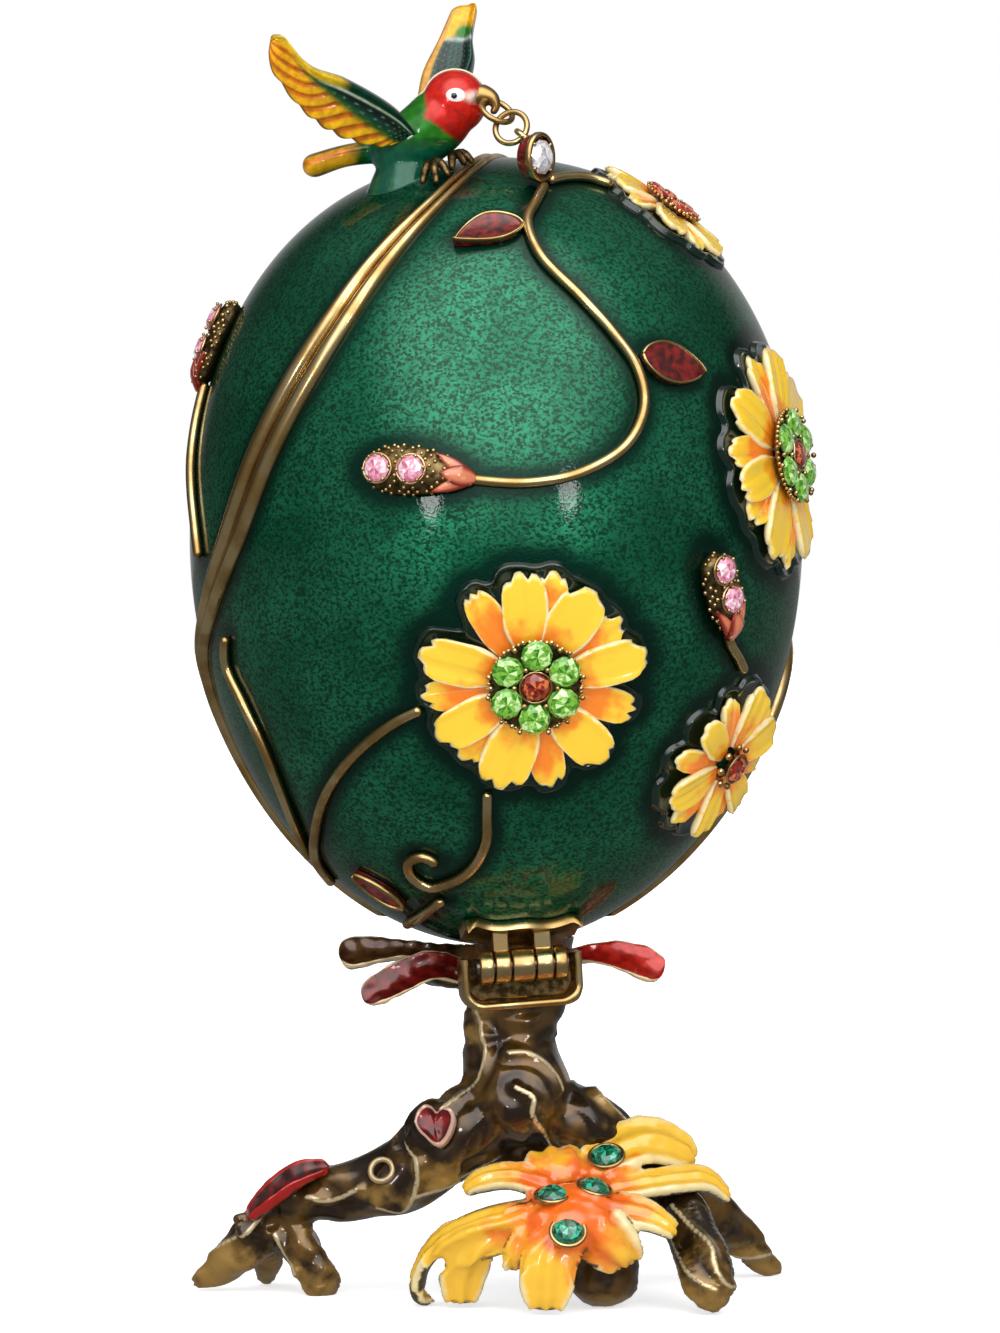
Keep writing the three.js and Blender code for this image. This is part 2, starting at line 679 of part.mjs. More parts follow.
function footFlowerBody(grow) {
  const solids = footLobes.map(([stations, across]) => {
    const wide = new THREE.Vector3(...across).normalize();
    return limb(stations, 6, stations.length + 1, wide, grow);
  });
  return joined(solids);
}

let footFlower = footFlowerBody(0).subtract(standClear).subtract(floorBlock);
const footPost = limb([[12, -10, -1, 3.6, 3.2], [12, -10, 1.5, 3.9, 3.5], [12, -10.4, 6, 3.8, 3.4],
  [11.4, -11.5, 10, 3.2, 3.0]], 14, 6, new THREE.Vector3(1, 0, 0));

// A place on a solid's surface as seen from the viewer's side, with the direction it faces
function surfaceFromFront(solid, x, z) {
  const mesh = new THREE.Mesh(geometryOf(solid), new THREE.MeshStandardMaterial());
  const caster = new THREE.Raycaster(new THREE.Vector3(x, -80, z), new THREE.Vector3(0, 1, 0));
  const hit = caster.intersectObject(mesh)[0];
  return { place: hit.point, facing: hit.face.normal.clone() };
}

const emeralds = [[6.3, 13.3], [11.0, 13.9], [12.4, 16.9], [8.0, 9.6]].map(([x, z], index) => {
  const { place, facing } = surfaceFromFront(footFlower, x, z);
  const lean = new THREE.Vector3(facing.x * 0.4, facing.y, Math.abs(facing.z) * 0.7 + 0.3).normalize();
  const floor = place.clone().addScaledVector(lean, -0.5);
  return { name: `emerald_${index + 1}`, floor, lean };
});
for (const { floor, lean } of emeralds) {
  const mouth = floor.clone().addScaledVector(lean, 2.5 - solderGap);
  footFlower = footFlower.subtract(seat(emeraldRadius + solderGap, mouth, lean, 2.5));
}

addPiece('tree_stand', stand, bronze);
for (const [name, [stations, across]] of Object.entries(crownLeaves)) {
  const wide = new THREE.Vector3(...across).normalize();
  const body = limb(raised(stations, eggFoot), 8, 2 * (stations.length - 1), wide);
  const look = name === 'crown_leaf_brown' ? bronze : redEnamel;
  addPiece(name, body.subtract(standClear).subtract(eggBody(2.2)).subtract(hingeClear), look);
}
for (const [name, stations] of Object.entries(rootLeaves)) {
  const body = limb(stations, 8, 2 * (stations.length - 1), new THREE.Vector3(1, 0, 0));
  addPiece(name, body.subtract(standClear), redEnamel);
}
addPiece('foot_flower', footFlower, yellowEnamel);
const footClear = standClear.add(footFlowerBody(solderGap)).add(floorBlock);
addPiece('foot_post', footPost.subtract(footClear), bronze);
for (const { name, floor, lean } of emeralds) {
  addPiece(name, stone(emeraldRadius, floor, lean), emeraldStone);
}
addPiece('hinge_lower_leaf', lowerLeaf, gold);
addPiece('hinge_pin', hingeRod(pinRadius, knuckleEnds[0] - 0.1, knuckleEnds[5] + 0.1, 12), steel);
addPiece('hinge_upper_leaf', upperLeaf, gold);

// Shell halves and their rims; the rims stop short of the trunk
const trunkClearLine = raised([[2.0, -1.6, 10, 7.5, 7.1], [2.0, -1.6, -6, 7.5, 7.1]], eggFoot);
const trunkClear = limb(trunkClearLine, 16, 1, new THREE.Vector3(0, 1, 0));
addPiece('rear_shell', wholeShell.intersect(besideSeam(backSide, seamGap / 2, 60)), greenEnamel);
addPiece('front_shell', wholeShell.intersect(besideSeam(doorSide, seamGap / 2, 60)), greenEnamel);
const rimEnd = seamGap / 2 + rimWidth;
const rearRim = rimLayer.intersect(besideSeam(backSide, seamGap / 2, rimEnd)).subtract(trunkClear);
const frontRim = rimLayer.intersect(besideSeam(doorSide, seamGap / 2, rimEnd)).subtract(trunkClear);
addPiece('rear_rim', rearRim, gold);
addPiece('front_rim', frontRim, gold);
const rimOuter = eggBody(rimHeight + 2 * solderGap);
const rimClear = rimOuter.intersect(besideSeam(doorSide, -rimEnd - solderGap, rimEnd + solderGap));

// Vines on the door, then the stems that end in buds
const vines = {
  vine_leaf_spray: [[[18.3, 0.9], [12.6, 0.854], [8.7, 0.801], [10.9, 0.711], [18.5, 0.609], [24.2, 0.519],
    [28.2, 0.431], [28.6, 0.338], [24.3, 0.241], [15.3, 0.171], [6.1, 0.146], [-2.0, 0.15],
    [-5.4, 0.157, 0.9], [-8.4, 0.164, 1.9], [-14.4, 0.174, 2.75], [-20.6, 0.178, 2.35],
    [-23.6, 0.178, 1.2]], 42],
  vine_to_top_flower: [[[20.8, 0.912], [31.5, 0.924], [43, 0.924], [51, 0.907]], 6],
  vine_daisy_left: [[[-14.5, -0.393], [-20.5, -0.426], [-29.9, -0.496], [-41.7, -0.596], [-54.3, -0.7],
    [-68, -0.778], [-77, -0.835]], 18],
  vine_daisy_low: [[[-1.9, -0.589], [-2.1, -0.639], [-2.6, -0.713], [-7.8, -0.783], [-17.1, -0.82],
    [-22.6, -0.826], [-26.8, -0.8], [-25.4, -0.763], [-20.5, -0.75], [-16.8, -0.767]], 24],
  vine_branch: [[[-19.8, -0.859], [-28, -0.887], [-40, -0.913], [-54, -0.93]], 5],
  vine_by_seam: [[[-61.5, -0.23], [-63.6, -0.302], [-60.6, -0.385], [-58.4, -0.48], [-58.8, -0.578],
    [-62.4, -0.678], [-72, -0.77]], 16],
  bud_stem_right: [[[55.5, -0.313], [52.3, -0.278], [49.0, -0.243], [47.4, -0.204, 0.9], [46.5, -0.178, 1.9],
    [44.6, -0.122, 2.4], [42.6, -0.061, 2.1], [41.7, -0.03, 1.1]], 18],
};

// Pink stones sunk in a bud, given as [angle, share of height]
function setStones(name, bud, places, look) {
  let body = bud;
  const stones = places.map(([angle, share], index) => {
    const floor = onEgg(angle, share, stoneLift);
    const facing = eggNormal(onEgg(angle, share, 0));
    const mouth = floor.clone().addScaledVector(facing, 2 - solderGap);
    body = body.subtract(seat(pinkRadius + solderGap, mouth, facing, 2));
    return { label: `${name}_stone_${index + 1}`, floor, facing };
  });
  addPiece(name, body, look);
  for (const { label, floor, facing } of stones) {
    addPiece(label, stone(pinkRadius, floor, facing), pinkStone);
  }
}

const budStones = {
  vine_leaf_spray: [[-20.6, 0.178], [-14.6, 0.176]],
  bud_stem_right: [[42.9, -0.067], [45.3, -0.133]],
};
for (const [name, [places, steps]] of Object.entries(vines)) {
  if (budStones[name]) {
    setStones(name, vine(places, steps), budStones[name], gold);
  } else {
    addPiece(name, vine(places, steps), gold);
  }
}
const leftStem = vine([[-70.5, -0.043], [-73.5, 0.028], [-80, 0.13], [-85, 0.208], [-86.5, 0.301],
  [-86.5, 0.38], [-86.5, 0.414, 1.7], [-86.5, 0.495, 2.5], [-86.5, 0.569, 2.2], [-86.5, 0.611, 1.0]], 24);
setStones('bud_stem_left', leftStem, [[-86.5, 0.56], [-86.5, 0.484]], gold);

// Leaves on the egg
addPiece('leaf_top', leaf(patchAt(-2.3, 0.785, 197), 7.6, 4.2), redEnamel);
addPiece('leaf_right', leaf(patchAt(36.6, 0.444, -16), 8.0, 4.4), redEnamel);
addPiece('leaf_low', leaf(patchAt(-44.5, -0.841, 118), 6.8, 3.0), redEnamel);
addPiece('rear_leaf_upper', leaf(patchAt(-101, 0.289, 100), 9.5, 4.4), redEnamel);
addPiece('rear_leaf_lower', leaf(patchAt(-104, -0.435, 75), 7.5, 3.8), redEnamel);

// Flowers with their stones
const daisyPatch = patchAt(7.1, -0.33);
addPiece('daisy', flower(daisyPatch, 14, 12.2), yellowEnamel);
addPiece('daisy_stone_ring', stoneRing(daisyPatch, 6, 3.57, chatonRadius, 1.35), greenStone);
const sidePatch = patchAt(68, 0.213);
addPiece('side_flower', flower(sidePatch, 13, 12.6), yellowEnamel);
addPiece('side_flower_stone_ring', stoneRing(sidePatch, 6, 3.57, chatonRadius, 1.35), greenStone);
const lowPatch = patchAt(59, -0.53);
addPiece('low_flower', flower(lowPatch, 11, 9.0), yellowEnamel);
const topPatch = patchAt(76, 0.856);
addPiece('top_flower', flower(topPatch, 10, 8.2), yellowEnamel);
addPiece('top_flower_stone_ring', stoneRing(topPatch, 6, 2.5, 1.05, 1.35), brownStone);
for (const [name, patch] of [['daisy', daisyPatch], ['side_flower', sidePatch], ['low_flower', lowPatch]]) {
  const place = patch.origin.clone().addScaledVector(patch.out, 1.55);
  addPiece(`${name}_centre_stone`, stone(1.55, place, patch.out, 10), brownStone);
}

// What stands at the egg's top is drawn from there, and put there
const acrossBird = new THREE.Vector3(0, 1, 0);

function onTop(solid) {
  return solid.translate(0, 0, eggTop);
}

// Bird: body, head and tail in one casting, standing on the rear half beside the seam
function birdCore(grow) {
  const body = limb([[-13.9, -7.6, -0.2, 1.9, 2.0], [-11.2, -8.8, 0.4, 3.0, 3.1],
    [-7.8, -9.4, 2.4, 3.4, 3.6], [-5.4, -9.5, 5, 3.3, 3.4], [-4.8, -9.5, 7.4, 2.4, 2.4],
    [-4.8, -9.5, 8.9, 0.9, 0.9]],
  10, 8, acrossBird, grow);
  const head = new THREE.SphereGeometry(3.6 + grow, 12, 8).translate(-4.6, -9.5, 5.7);
  return onTop(body.add(solidOf(head)));
}

const tail = onTop(limb([[-12.4, -8.0, 0.4, 2.0, 1.4], [-17.0, -7.2, -0.2, 2.4, 1.4],
  [-20.6, -6.4, -1.3, 2.6, 1.6], [-21.5, -6.2, -1.6, 2.2, 1.3]], 10, 6, acrossBird));
const pedestal = onTop(limb(
  [[-9.6, -8.6, 1.3, 2.9, 2.9], [-9.8, -8.6, -1.7, 3.1, 3.2], [-9.9, -8.8, -6.2, 4.2, 4.4]],
  12, 5, acrossBird,
));
const doorSpace = besideSeam(doorSide, -rimEnd - solderGap, 60);
const lowBlock = solidOf(new THREE.BoxGeometry(120, 120, 60).translate(0, 0, eggTop + solderGap - 30));
const pedestalBody = pedestal.subtract(doorSpace.intersect(lowBlock));
const birdBody = joined([birdCore(0), tail, pedestalBody]).subtract(eggClear).subtract(rimClear);
addPiece('bird_body', birdBody, birdEnamel);
const birdClear = birdCore(solderGap);

const nearWing = blade(
  [[-9.0, -12.2, 2.4], [-11.2, -14, 4.8], [-16.7, -17, 7.9], [-20.5, -19, 9.2], [-24.0, -21, 12.5]],
  [[-10.6, -12.0, 1.1], [-13.0, -13, 0.6], [-17.6, -15.6, 1.8], [-21.4, -18, 4.4], [-24.9, -21, 9.1]],
  1.5, 8,
);
const farWing = blade(
  [[-3.2, -6.0, 8], [-2.4, -4.6, 10.4], [-2.6, -3.0, 13.2], [-2.1, -1, 17]],
  [[-8.6, -6.4, 6.4], [-8.0, -4.8, 9.4], [-6.3, -3.0, 13.2], [-4.6, -1, 17.2]],
  1.4, 6,
);
addPiece('wing_near', onTop(nearWing).subtract(birdClear), birdEnamel);
addPiece('wing_far', onTop(farWing).subtract(birdClear), birdEnamel);

// Beak: an open hook that the chain's upper ring slips off before the door opens
const beak = limb([[-2.0, -10.0, 7, 0.9], [-0.3, -10.6, 6.8, 0.62], [0.45, -11.1, 5.8, 0.42],
  [0.15, -11.25, 4.8, 0.36], [-0.4, -11.25, 4.35, 0.32]], 7, 9, acrossBird);
addPiece('beak', onTop(beak).subtract(birdClear), gold);

// Feet: three short toes each, over the rear rim
function foot(ankle, tips) {
  return joined(tips.map(([x, y, z]) => {
    const rise = [(ankle[0] + x) / 2, (ankle[1] + y) / 2, (ankle[2] + z) / 2 + 0.7];
    return limb([[...ankle, 0.6], [...rise, 0.6], [x, y, z, 0.38]], 5, 3, null);
  }));
}

const feet = {
  foot_near: [[-7.6, -12.2, -0.8], [[-8.6, -14.2, -2.7], [-7.2, -14.8, -2.7], [-6.0, -14.2, -2.2]]],
  foot_far: [[-5.6, -10.4, 0.4], [[-5.7, -12.4, -1], [-4.4, -12.2, -0.7], [-3.9, -11.0, -0.3]]],
};
const birdWhole = birdCore(solderGap).add(pedestal).add(tail);
for (const [name, [ankle, tips]] of Object.entries(feet)) {
  const body = onTop(foot(ankle, tips)).subtract(birdWhole).subtract(eggClear).subtract(rimClear);
  addPiece(name, body, gold);
}

// Clasp: two rings and a crystal drop on the door. A ring lies about a centre, drawn from the egg's
// top, and faces along an axis.
function ring(centre, radius, facing) {
  const axis = new THREE.Vector3(...facing).normalize();
  const start = new THREE.Vector3().crossVectors(axis, new THREE.Vector3(0, 0, 1)).normalize();
  const other = new THREE.Vector3().crossVectors(axis, start);
  const positions = [];
  const faces = [];
  const turns = 14;
  const sides = 5;
  for (let i = 0; i < turns; i += 1) {
    const a = (i / turns) * 2 * Math.PI;
    const spoke = start.clone().multiplyScalar(Math.cos(a)).addScaledVector(other, Math.sin(a));
    for (let j = 0; j < sides; j += 1) {
      const b = (j / sides) * 2 * Math.PI;
      const point = new THREE.Vector3(...centre).addScaledVector(spoke, radius + Math.cos(b) * wireRadius);
      point.addScaledVector(axis, Math.sin(b) * wireRadius);
      positions.push(point.x, point.y, point.z);
      const nextTurn = ((i + 1) % turns) * sides;
      const nextSide = (j + 1) % sides;
      faces.push(i * sides + j, nextTurn + j, nextTurn + nextSide);
      faces.push(i * sides + j, nextTurn + nextSide, i * sides + nextSide);
    }
  }
  return onTop(closedSolid(positions, faces));
}

addPiece('chain_ring_upper', ring([0.1, -12.13, 4.5], linkRadius, [0.74, -0.08, 0.67]), gold);
addPiece('chain_ring_lower', ring([1.7, -13.5, 2.6], linkRadius, [-0.33, -0.9, 0.3]), gold);
const pendantCentre = new THREE.Vector3(4.35, -16.2, eggTop - 0.6);
const pendantFacing = direction(52);
const pendantRadius = 2.4;
const pendantDepth = 2.2;
const pendantFace = pendantCentre.clone().addScaledVector(pendantFacing, pendantDepth / 2);
const cup = placedOn(
  new THREE.CylinderGeometry(pendantRadius, pendantRadius * 0.86, pendantDepth, 14),
  pendantCentre,
  pendantFacing,
);
const crystalRadius = 1.95;
const crystalFloor = pendantFace.clone().addScaledVector(pendantFacing, -0.9);
const cupMouth = crystalFloor.clone().addScaledVector(pendantFacing, 2 - solderGap);
const cupHollow = seat(crystalRadius + solderGap, cupMouth, pendantFacing, 2);
const bail = ring([3.13, -14.35, 1.6], bailRadius, [0.57, -0.1, 0.82]);
addPiece('pendant_cup', cup.subtract(cupHollow).add(bail), gold);
addPiece('pendant_crystal', stone(crystalRadius, crystalFloor, pendantFacing, 10), clearStone);

// The origin lies on the floor under the middle of the object's box
for (const mesh of group.children) {
  mesh.geometry.translate(-footprintMiddle.x, -footprintMiddle.y, 0);
}

export default group;
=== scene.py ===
"""Looks of the egg trinket box: enamel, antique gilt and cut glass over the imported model, in metres."""
import math
import random

import bpy
import numpy as np
from mathutils import Matrix, Vector, noise
from mathutils.bvhtree import BVHTree


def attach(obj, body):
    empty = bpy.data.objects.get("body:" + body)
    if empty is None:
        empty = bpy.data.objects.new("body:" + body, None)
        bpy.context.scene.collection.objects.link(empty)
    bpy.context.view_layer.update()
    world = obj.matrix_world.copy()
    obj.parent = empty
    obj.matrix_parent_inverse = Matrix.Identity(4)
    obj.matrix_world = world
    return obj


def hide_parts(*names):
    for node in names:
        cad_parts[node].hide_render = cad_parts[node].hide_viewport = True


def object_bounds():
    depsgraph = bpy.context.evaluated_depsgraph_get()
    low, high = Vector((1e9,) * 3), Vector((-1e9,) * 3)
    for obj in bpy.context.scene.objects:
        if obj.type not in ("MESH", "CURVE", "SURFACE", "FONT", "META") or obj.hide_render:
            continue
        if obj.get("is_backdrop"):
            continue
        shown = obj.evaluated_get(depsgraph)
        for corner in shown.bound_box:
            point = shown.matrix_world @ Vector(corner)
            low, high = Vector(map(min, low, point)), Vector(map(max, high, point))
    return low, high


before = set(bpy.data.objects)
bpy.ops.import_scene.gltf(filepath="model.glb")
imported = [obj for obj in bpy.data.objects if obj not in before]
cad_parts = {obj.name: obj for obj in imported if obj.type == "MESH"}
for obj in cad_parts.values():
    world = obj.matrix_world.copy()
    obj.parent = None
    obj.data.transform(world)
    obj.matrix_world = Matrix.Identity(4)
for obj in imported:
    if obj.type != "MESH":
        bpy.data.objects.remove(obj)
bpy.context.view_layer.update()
random.seed(7)

# The pieces are drawn in millimetres from the egg's axis, and put in the frame by this step
MM = 0.001
AXIS = Vector((-0.3, 1.0, 0.0))

# Egg, as in the CAD part
EGG_RADIUS = 34.7
WIDEST = 86.0
TOP_RISE = 43.2
TOP_POWER = 2.2
FOOT_DROP = 46.0
FOOT_POWER = 1.95
EGG_TOP = WIDEST + TOP_RISE
EGG_FOOT = WIDEST - FOOT_DROP
WALL = 1.7
SEAM_GAP = 0.36
SEAM_COURSE = [
    (0.995, -11), (0.764, -26), (0.509, -37), (0.231, -48), (0, -57),
    (-0.174, -69), (-0.326, -85), (-0.435, -90), (-1.043, -90),
]


# Egg and paths
def height_at(share):
    return WIDEST + share * (TOP_RISE if share > 0 else FOOT_DROP)


def reach_and_power(z):
    return (TOP_RISE, TOP_POWER) if z >= WIDEST else (FOOT_DROP, FOOT_POWER)


def egg_radius(z, grow=0.0):
    reach, power = reach_and_power(z)
    share = min(abs(z - WIDEST) / (reach + grow), 1)
    return (EGG_RADIUS + grow) * (1 - share ** power) ** (1 / power)


def egg_level(p):
    reach, power = reach_and_power(p.z)
    return (math.hypot(p.x, p.y) / EGG_RADIUS) ** power + (abs(p.z - WIDEST) / reach) ** power - 1


def egg_normal(p):
    reach, power = reach_and_power(p.z)
    r = max(math.hypot(p.x, p.y), 1e-6)
    h = p.z - WIDEST
    outward = (r / EGG_RADIUS) ** (power - 1) / EGG_RADIUS
    upward = math.copysign((abs(h) / reach) ** (power - 1), h) / reach
    return Vector((p.x / r * outward, p.y / r * outward, upward)).normalized()


def direction(angle):
    turn = math.radians(angle)
    return Vector((math.sin(turn), -math.cos(turn), 0))


def on_egg(angle, share, lift=0.0):
    z = height_at(share)
    p = direction(angle) * egg_radius(z)
    p.z = z
    return p + egg_normal(p) * lift


class Patch:
    """A place on the egg with its own side, ahead and outward directions."""

    def __init__(self, angle, share, turn=0.0):
        self.origin = on_egg(angle, share)
        self.out = egg_normal(self.origin)
        east = direction(angle + 90)
        north = self.out.cross(east).normalized()
        roll = math.radians(turn)
        self.side = east * math.cos(roll) + north * math.sin(roll)
        self.ahead = self.out.cross(self.side)

    def place(self, u, v, lift):
        """The place on the egg under the patch's own coordinates, lifted off the surface."""
        start = self.origin + self.side * u + self.ahead * v
        near, far = -2.0, 12.0
        for _ in range(24):
            middle = (near + far) / 2
            if egg_level(start - self.out * middle) > 0:
                near = middle
            else:
                far = middle
        p = start - self.out * far
        return p + egg_normal(p) * lift


def course(stations, fineness=24):
    """A smooth line through stations x, y, z, half width, half thickness."""
    points = [np.array([*s, s[3]] if len(s) == 4 else s, float) for s in stations]
    whole = [2 * points[0] - points[1], *points, 2 * points[-1] - points[-2]]
    line = []
    for a, b, c, d in zip(whole, whole[1:], whole[2:], whole[3:]):
        gaps = [np.linalg.norm((q - p)[:3]) for p, q in ((a, b), (b, c), (c, d))]
        da, db, dc = (max(float(gap), 1e-4) ** 0.5 for gap in gaps)
        leave = ((b - a) / da - (c - a) / (da + db) + (c - b) / db) * db
        arrive = ((c - b) / db - (d - b) / (db + dc) + (d - c) / dc) * db
        for w in np.arange(fineness) / fineness:
            squared = (3 * (c - b) - 2 * leave - arrive) * w ** 2
            cubed = (2 * (b - c) + leave + arrive) * w ** 3
            line.append(b + leave * w + squared + cubed)
    line.append(points[-1])
    return np.array(line)


SEAM_LINE = course([(height_at(s), a, 0, 0) for s, a in SEAM_COURSE], 40)[::-1]


def seam_angle(z):
    return float(np.interp(z, SEAM_LINE[:, 0], SEAM_LINE[:, 1]))


# Making meshes
def fresh():
    """Object mode with nothing selected, before a primitive is added."""
    if bpy.context.mode != "OBJECT":
        bpy.ops.object.mode_set(mode="OBJECT")
    bpy.ops.object.select_all(action="DESELECT")


def welded(piece, angle=None):
    """Doubles merged, faces outward, smooth shading, or flat past an angle."""
    fresh()
    piece.select_set(True)
    bpy.context.view_layer.objects.active = piece
    bpy.ops.object.mode_set(mode="EDIT")
    bpy.ops.mesh.select_all(action="SELECT")
    bpy.ops.mesh.remove_doubles(threshold=3e-6)
    bpy.ops.mesh.normals_make_consistent(inside=False)
    bpy.ops.object.mode_set(mode="OBJECT")
    if angle is None:
        bpy.ops.object.shade_smooth()
    else:
        bpy.ops.object.shade_smooth_by_angle(angle=math.radians(angle))
    return piece


def mark(piece, name, values):
    """A number at each point of a piece, for its material."""
    layer = piece.data.attributes.get(name) or piece.data.attributes.new(name, "FLOAT", "POINT")
    layer.data.foreach_set("value", np.asarray(values, np.float32).ravel())


def paint(piece, colours):
    """A colour at each point of a piece, for its material."""
    layer = piece.data.attributes.new("paint", "FLOAT_COLOR", "POINT")
    layer.data.foreach_set("color", np.asarray(colours, np.float32).ravel())


def skin(name, rows, marks=None, colours=None, angle=None):
    """A grid laid through rows of points. A row that is a ring repeats its first point."""
    fresh()
    bpy.ops.mesh.primitive_grid_add(x_subdivisions=len(rows[0]) - 1, y_subdivisions=len(rows) - 1, size=1)
    piece = bpy.context.object
    piece.name = piece.data.name = name
    places = (np.array([tuple(p) for row in rows for p in row]) + np.array(AXIS)) * MM
    piece.data.vertices.foreach_set("co", places.astype(np.float32).ravel())
    for key, values in (marks or {}).items():
        mark(piece, key, values)
    if colours is not None:
        paint(piece, colours)
    return welded(piece, angle)


def joined(name, pieces):
    """Several pieces made one."""
    fresh()
    for piece in pieces:
        piece.select_set(True)
    bpy.context.view_layer.objects.active = pieces[0]
    bpy.ops.object.join()
    pieces[0].name = pieces[0].data.name = name
    return pieces[0]


def limb(name, stations, sides=20, spacing=0.7, across=None, section=None):
    """A rounded limb of oval section. Its width lies along a direction, or square to the outward one."""
    line = course(stations)
    steps = np.linalg.norm(np.diff(line[:, :3], axis=0), axis=1)
    far = np.concatenate([[0], np.cumsum(steps)])
    total = far[-1]
    tangents = np.gradient(line[:, :3], axis=0)
    caps = [min(min(line[0, 3:5]), total * 0.3), min(min(line[-1, 3:5]), total * 0.3)]
    turns = [math.radians(a) for a in (0, 18, 36, 54, 72)]
    cuts = [(caps[0] * (1 - math.cos(a)), math.sin(a)) for a in turns]
    count = max(int((total - sum(caps)) / spacing), 2)
    cuts += [(d, 1.0) for d in np.linspace(caps[0], total - caps[1], count + 1)]
    cuts += [(total - caps[1] * (1 - math.cos(a)), math.sin(a)) for a in turns[::-1]]
    fixed = Vector(across) if across is not None and not callable(across) else None
    wide = fixed.copy() if fixed else Vector((0, 1, 0.01))
    rows, around_marks, inner_marks = [], [], []
    for d, full in cuts:
        x, y, z, half, thick = (float(np.interp(d, far, line[:, i])) for i in range(5))
        along = Vector([float(np.interp(d, far, tangents[:, i])) for i in range(3)]).normalized()
        middle = Vector((x, y, z))
        hint = fixed.copy() if fixed else wide
        if callable(across):
            hint = across(middle).cross(along)
        wide = (hint - along * hint.dot(along)).normalized()
        up = along.cross(wide)
        row = []
        for j in range(sides + 1):
            a = (j % sides) / sides * 2 * math.pi
            u, v = section(a, d / total) if section else (math.cos(a), math.sin(a))
            row.append(middle + wide * (u * max(half, 0.05) * full) + up * (v * max(thick, 0.05) * full))
        rows.append(row)
        around_marks.append([abs(math.cos((j % sides) / sides * 2 * math.pi)) for j in range(sides + 1)])
        inner_marks.append([max(math.sin((j % sides) / sides * 2 * math.pi), 0) for j in range(sides + 1)])
    return skin(name, rows, {"aside": around_marks, "inner": inner_marks})


def cast(name, pieces, voxel, rounds=6):
    """Several limbs run together into one casting."""
    piece = joined(name, pieces)
    modifier = piece.modifiers.new("run_together", "REMESH")
    modifier.mode = "VOXEL"
    modifier.voxel_size = voxel * MM
    modifier.use_smooth_shade = True
    bpy.ops.object.modifier_apply(modifier=modifier.name)
    modifier = piece.modifiers.new("melt", "SMOOTH")
    modifier.factor = 0.5
    modifier.iterations = rounds
    bpy.ops.object.modifier_apply(modifier=modifier.name)
    return piece


def points_of(piece):
    """A mesh's points in drawn millimetres, and its point normals."""
    mesh = piece.data
    co = np.zeros(len(mesh.vertices) * 3, np.float32)
    no = np.zeros(len(mesh.vertices) * 3, np.float32)
    mesh.vertices.foreach_get("co", co)
    mesh.vertex_normals.foreach_get("vector", no)
    return co.reshape(-1, 3).astype(float) / MM - np.array(AXIS), no.reshape(-1, 3).astype(float)


def put_points(piece, points):
    """Moves a mesh's points to places in drawn millimetres."""
    piece.data.vertices.foreach_set("co", ((points + np.array(AXIS)) * MM).astype(np.float32).ravel())
    piece.data.update()


def settled(place, facing, turn=0.0):
    """Matrix that puts a template, drawn in millimetres about its own axis, at a place on the object."""
    facing = Vector(facing).normalized()
    roll = Matrix.Rotation(turn, 4, "Z")
    lay = facing.to_track_quat("Z", "Y").to_matrix().to_4x4()
    return Matrix.Translation((Vector(place) + AXIS) * MM) @ lay @ roll @ Matrix.Scale(MM, 4)


def set_out(name, template, matrices):
    """Copies of one template, each put at its own place, in one piece."""
    copies = []
    for matrix in matrices:
        twin = template.copy()
        twin.data = template.data.copy()
        twin.data.transform(matrix)
        bpy.context.scene.collection.objects.link(twin)
        copies.append(twin)
    return joined(name, copies)


def template(name):
    """The primitive just added, kept as a template in millimetres."""
    piece = bpy.context.object
    piece.name = piece.data.name = name
    bpy.ops.object.transform_apply(location=True, rotation=True, scale=True)
    return piece


templates = []


# Materials
SMOOTH = {"interpolation_type": "SMOOTHSTEP"}


def linear(code):
    """A colour written as sRGB hex, in linear light."""
    parts = [int(code[i:i + 2], 16) / 255 for i in (1, 3, 5)]
    return (*(c / 12.92 if c <= 0.04045 else ((c + 0.055) / 1.055) ** 2.4 for c in parts), 1.0)


def add(tree, kind, inputs=None, **settings):
    """A node. Its sockets take values, hex colours, other sockets, or nodes for their first output in use."""
    made = tree.nodes.new("ShaderNode" + kind)
    for key, value in settings.items():
        setattr(made, key, value)
    for key, value in (inputs or {}).items():
        if isinstance(value, bpy.types.Node):
            value = next(output for output in value.outputs if output.enabled)
        if isinstance(value, bpy.types.NodeSocket):
            tree.links.new(value, made.inputs[key])
        else:
            made.inputs[key].default_value = linear(value) if isinstance(value, str) else value
    return made


def blank_material(name):
    """A material with an empty node tree, and the Object coordinates for its patterns."""
    made = bpy.data.materials.new(name)
    made.use_nodes = True
    tree = made.node_tree
    tree.nodes.clear()
    return made, tree, add(tree, "TexCoord").outputs["Object"]


def surface(tree, **sockets):
    """The principled shader of a material, on its output."""
    shader = add(tree, "BsdfPrincipled", {key.replace("_", " "): value for key, value in sockets.items()})
    add(tree, "OutputMaterial", {0: shader})


def cells(place, size, detail=2.0, distortion=0.0):
    """Sockets of a cloudy pattern with cells of a size in millimetres."""
    return {"Vector": place, "Scale": 1 / (size * MM), "Detail": detail, "Distortion": distortion}


def span(value, low, high, least=0.0, most=1.0):
    """Sockets that stretch a value between two levels."""
    return {"Value": value, "From Min": low, "From Max": high, "To Min": least, "To Max": most}


def passing(tree, value, low, high, first, second):
    """One colour passing into another as a value rises between two levels."""
    share = add(tree, "MapRange", span(value, low, high), **SMOOTH)
    return add(tree, "Mix", {0: share, 6: first, 7: second}, data_type="RGBA")


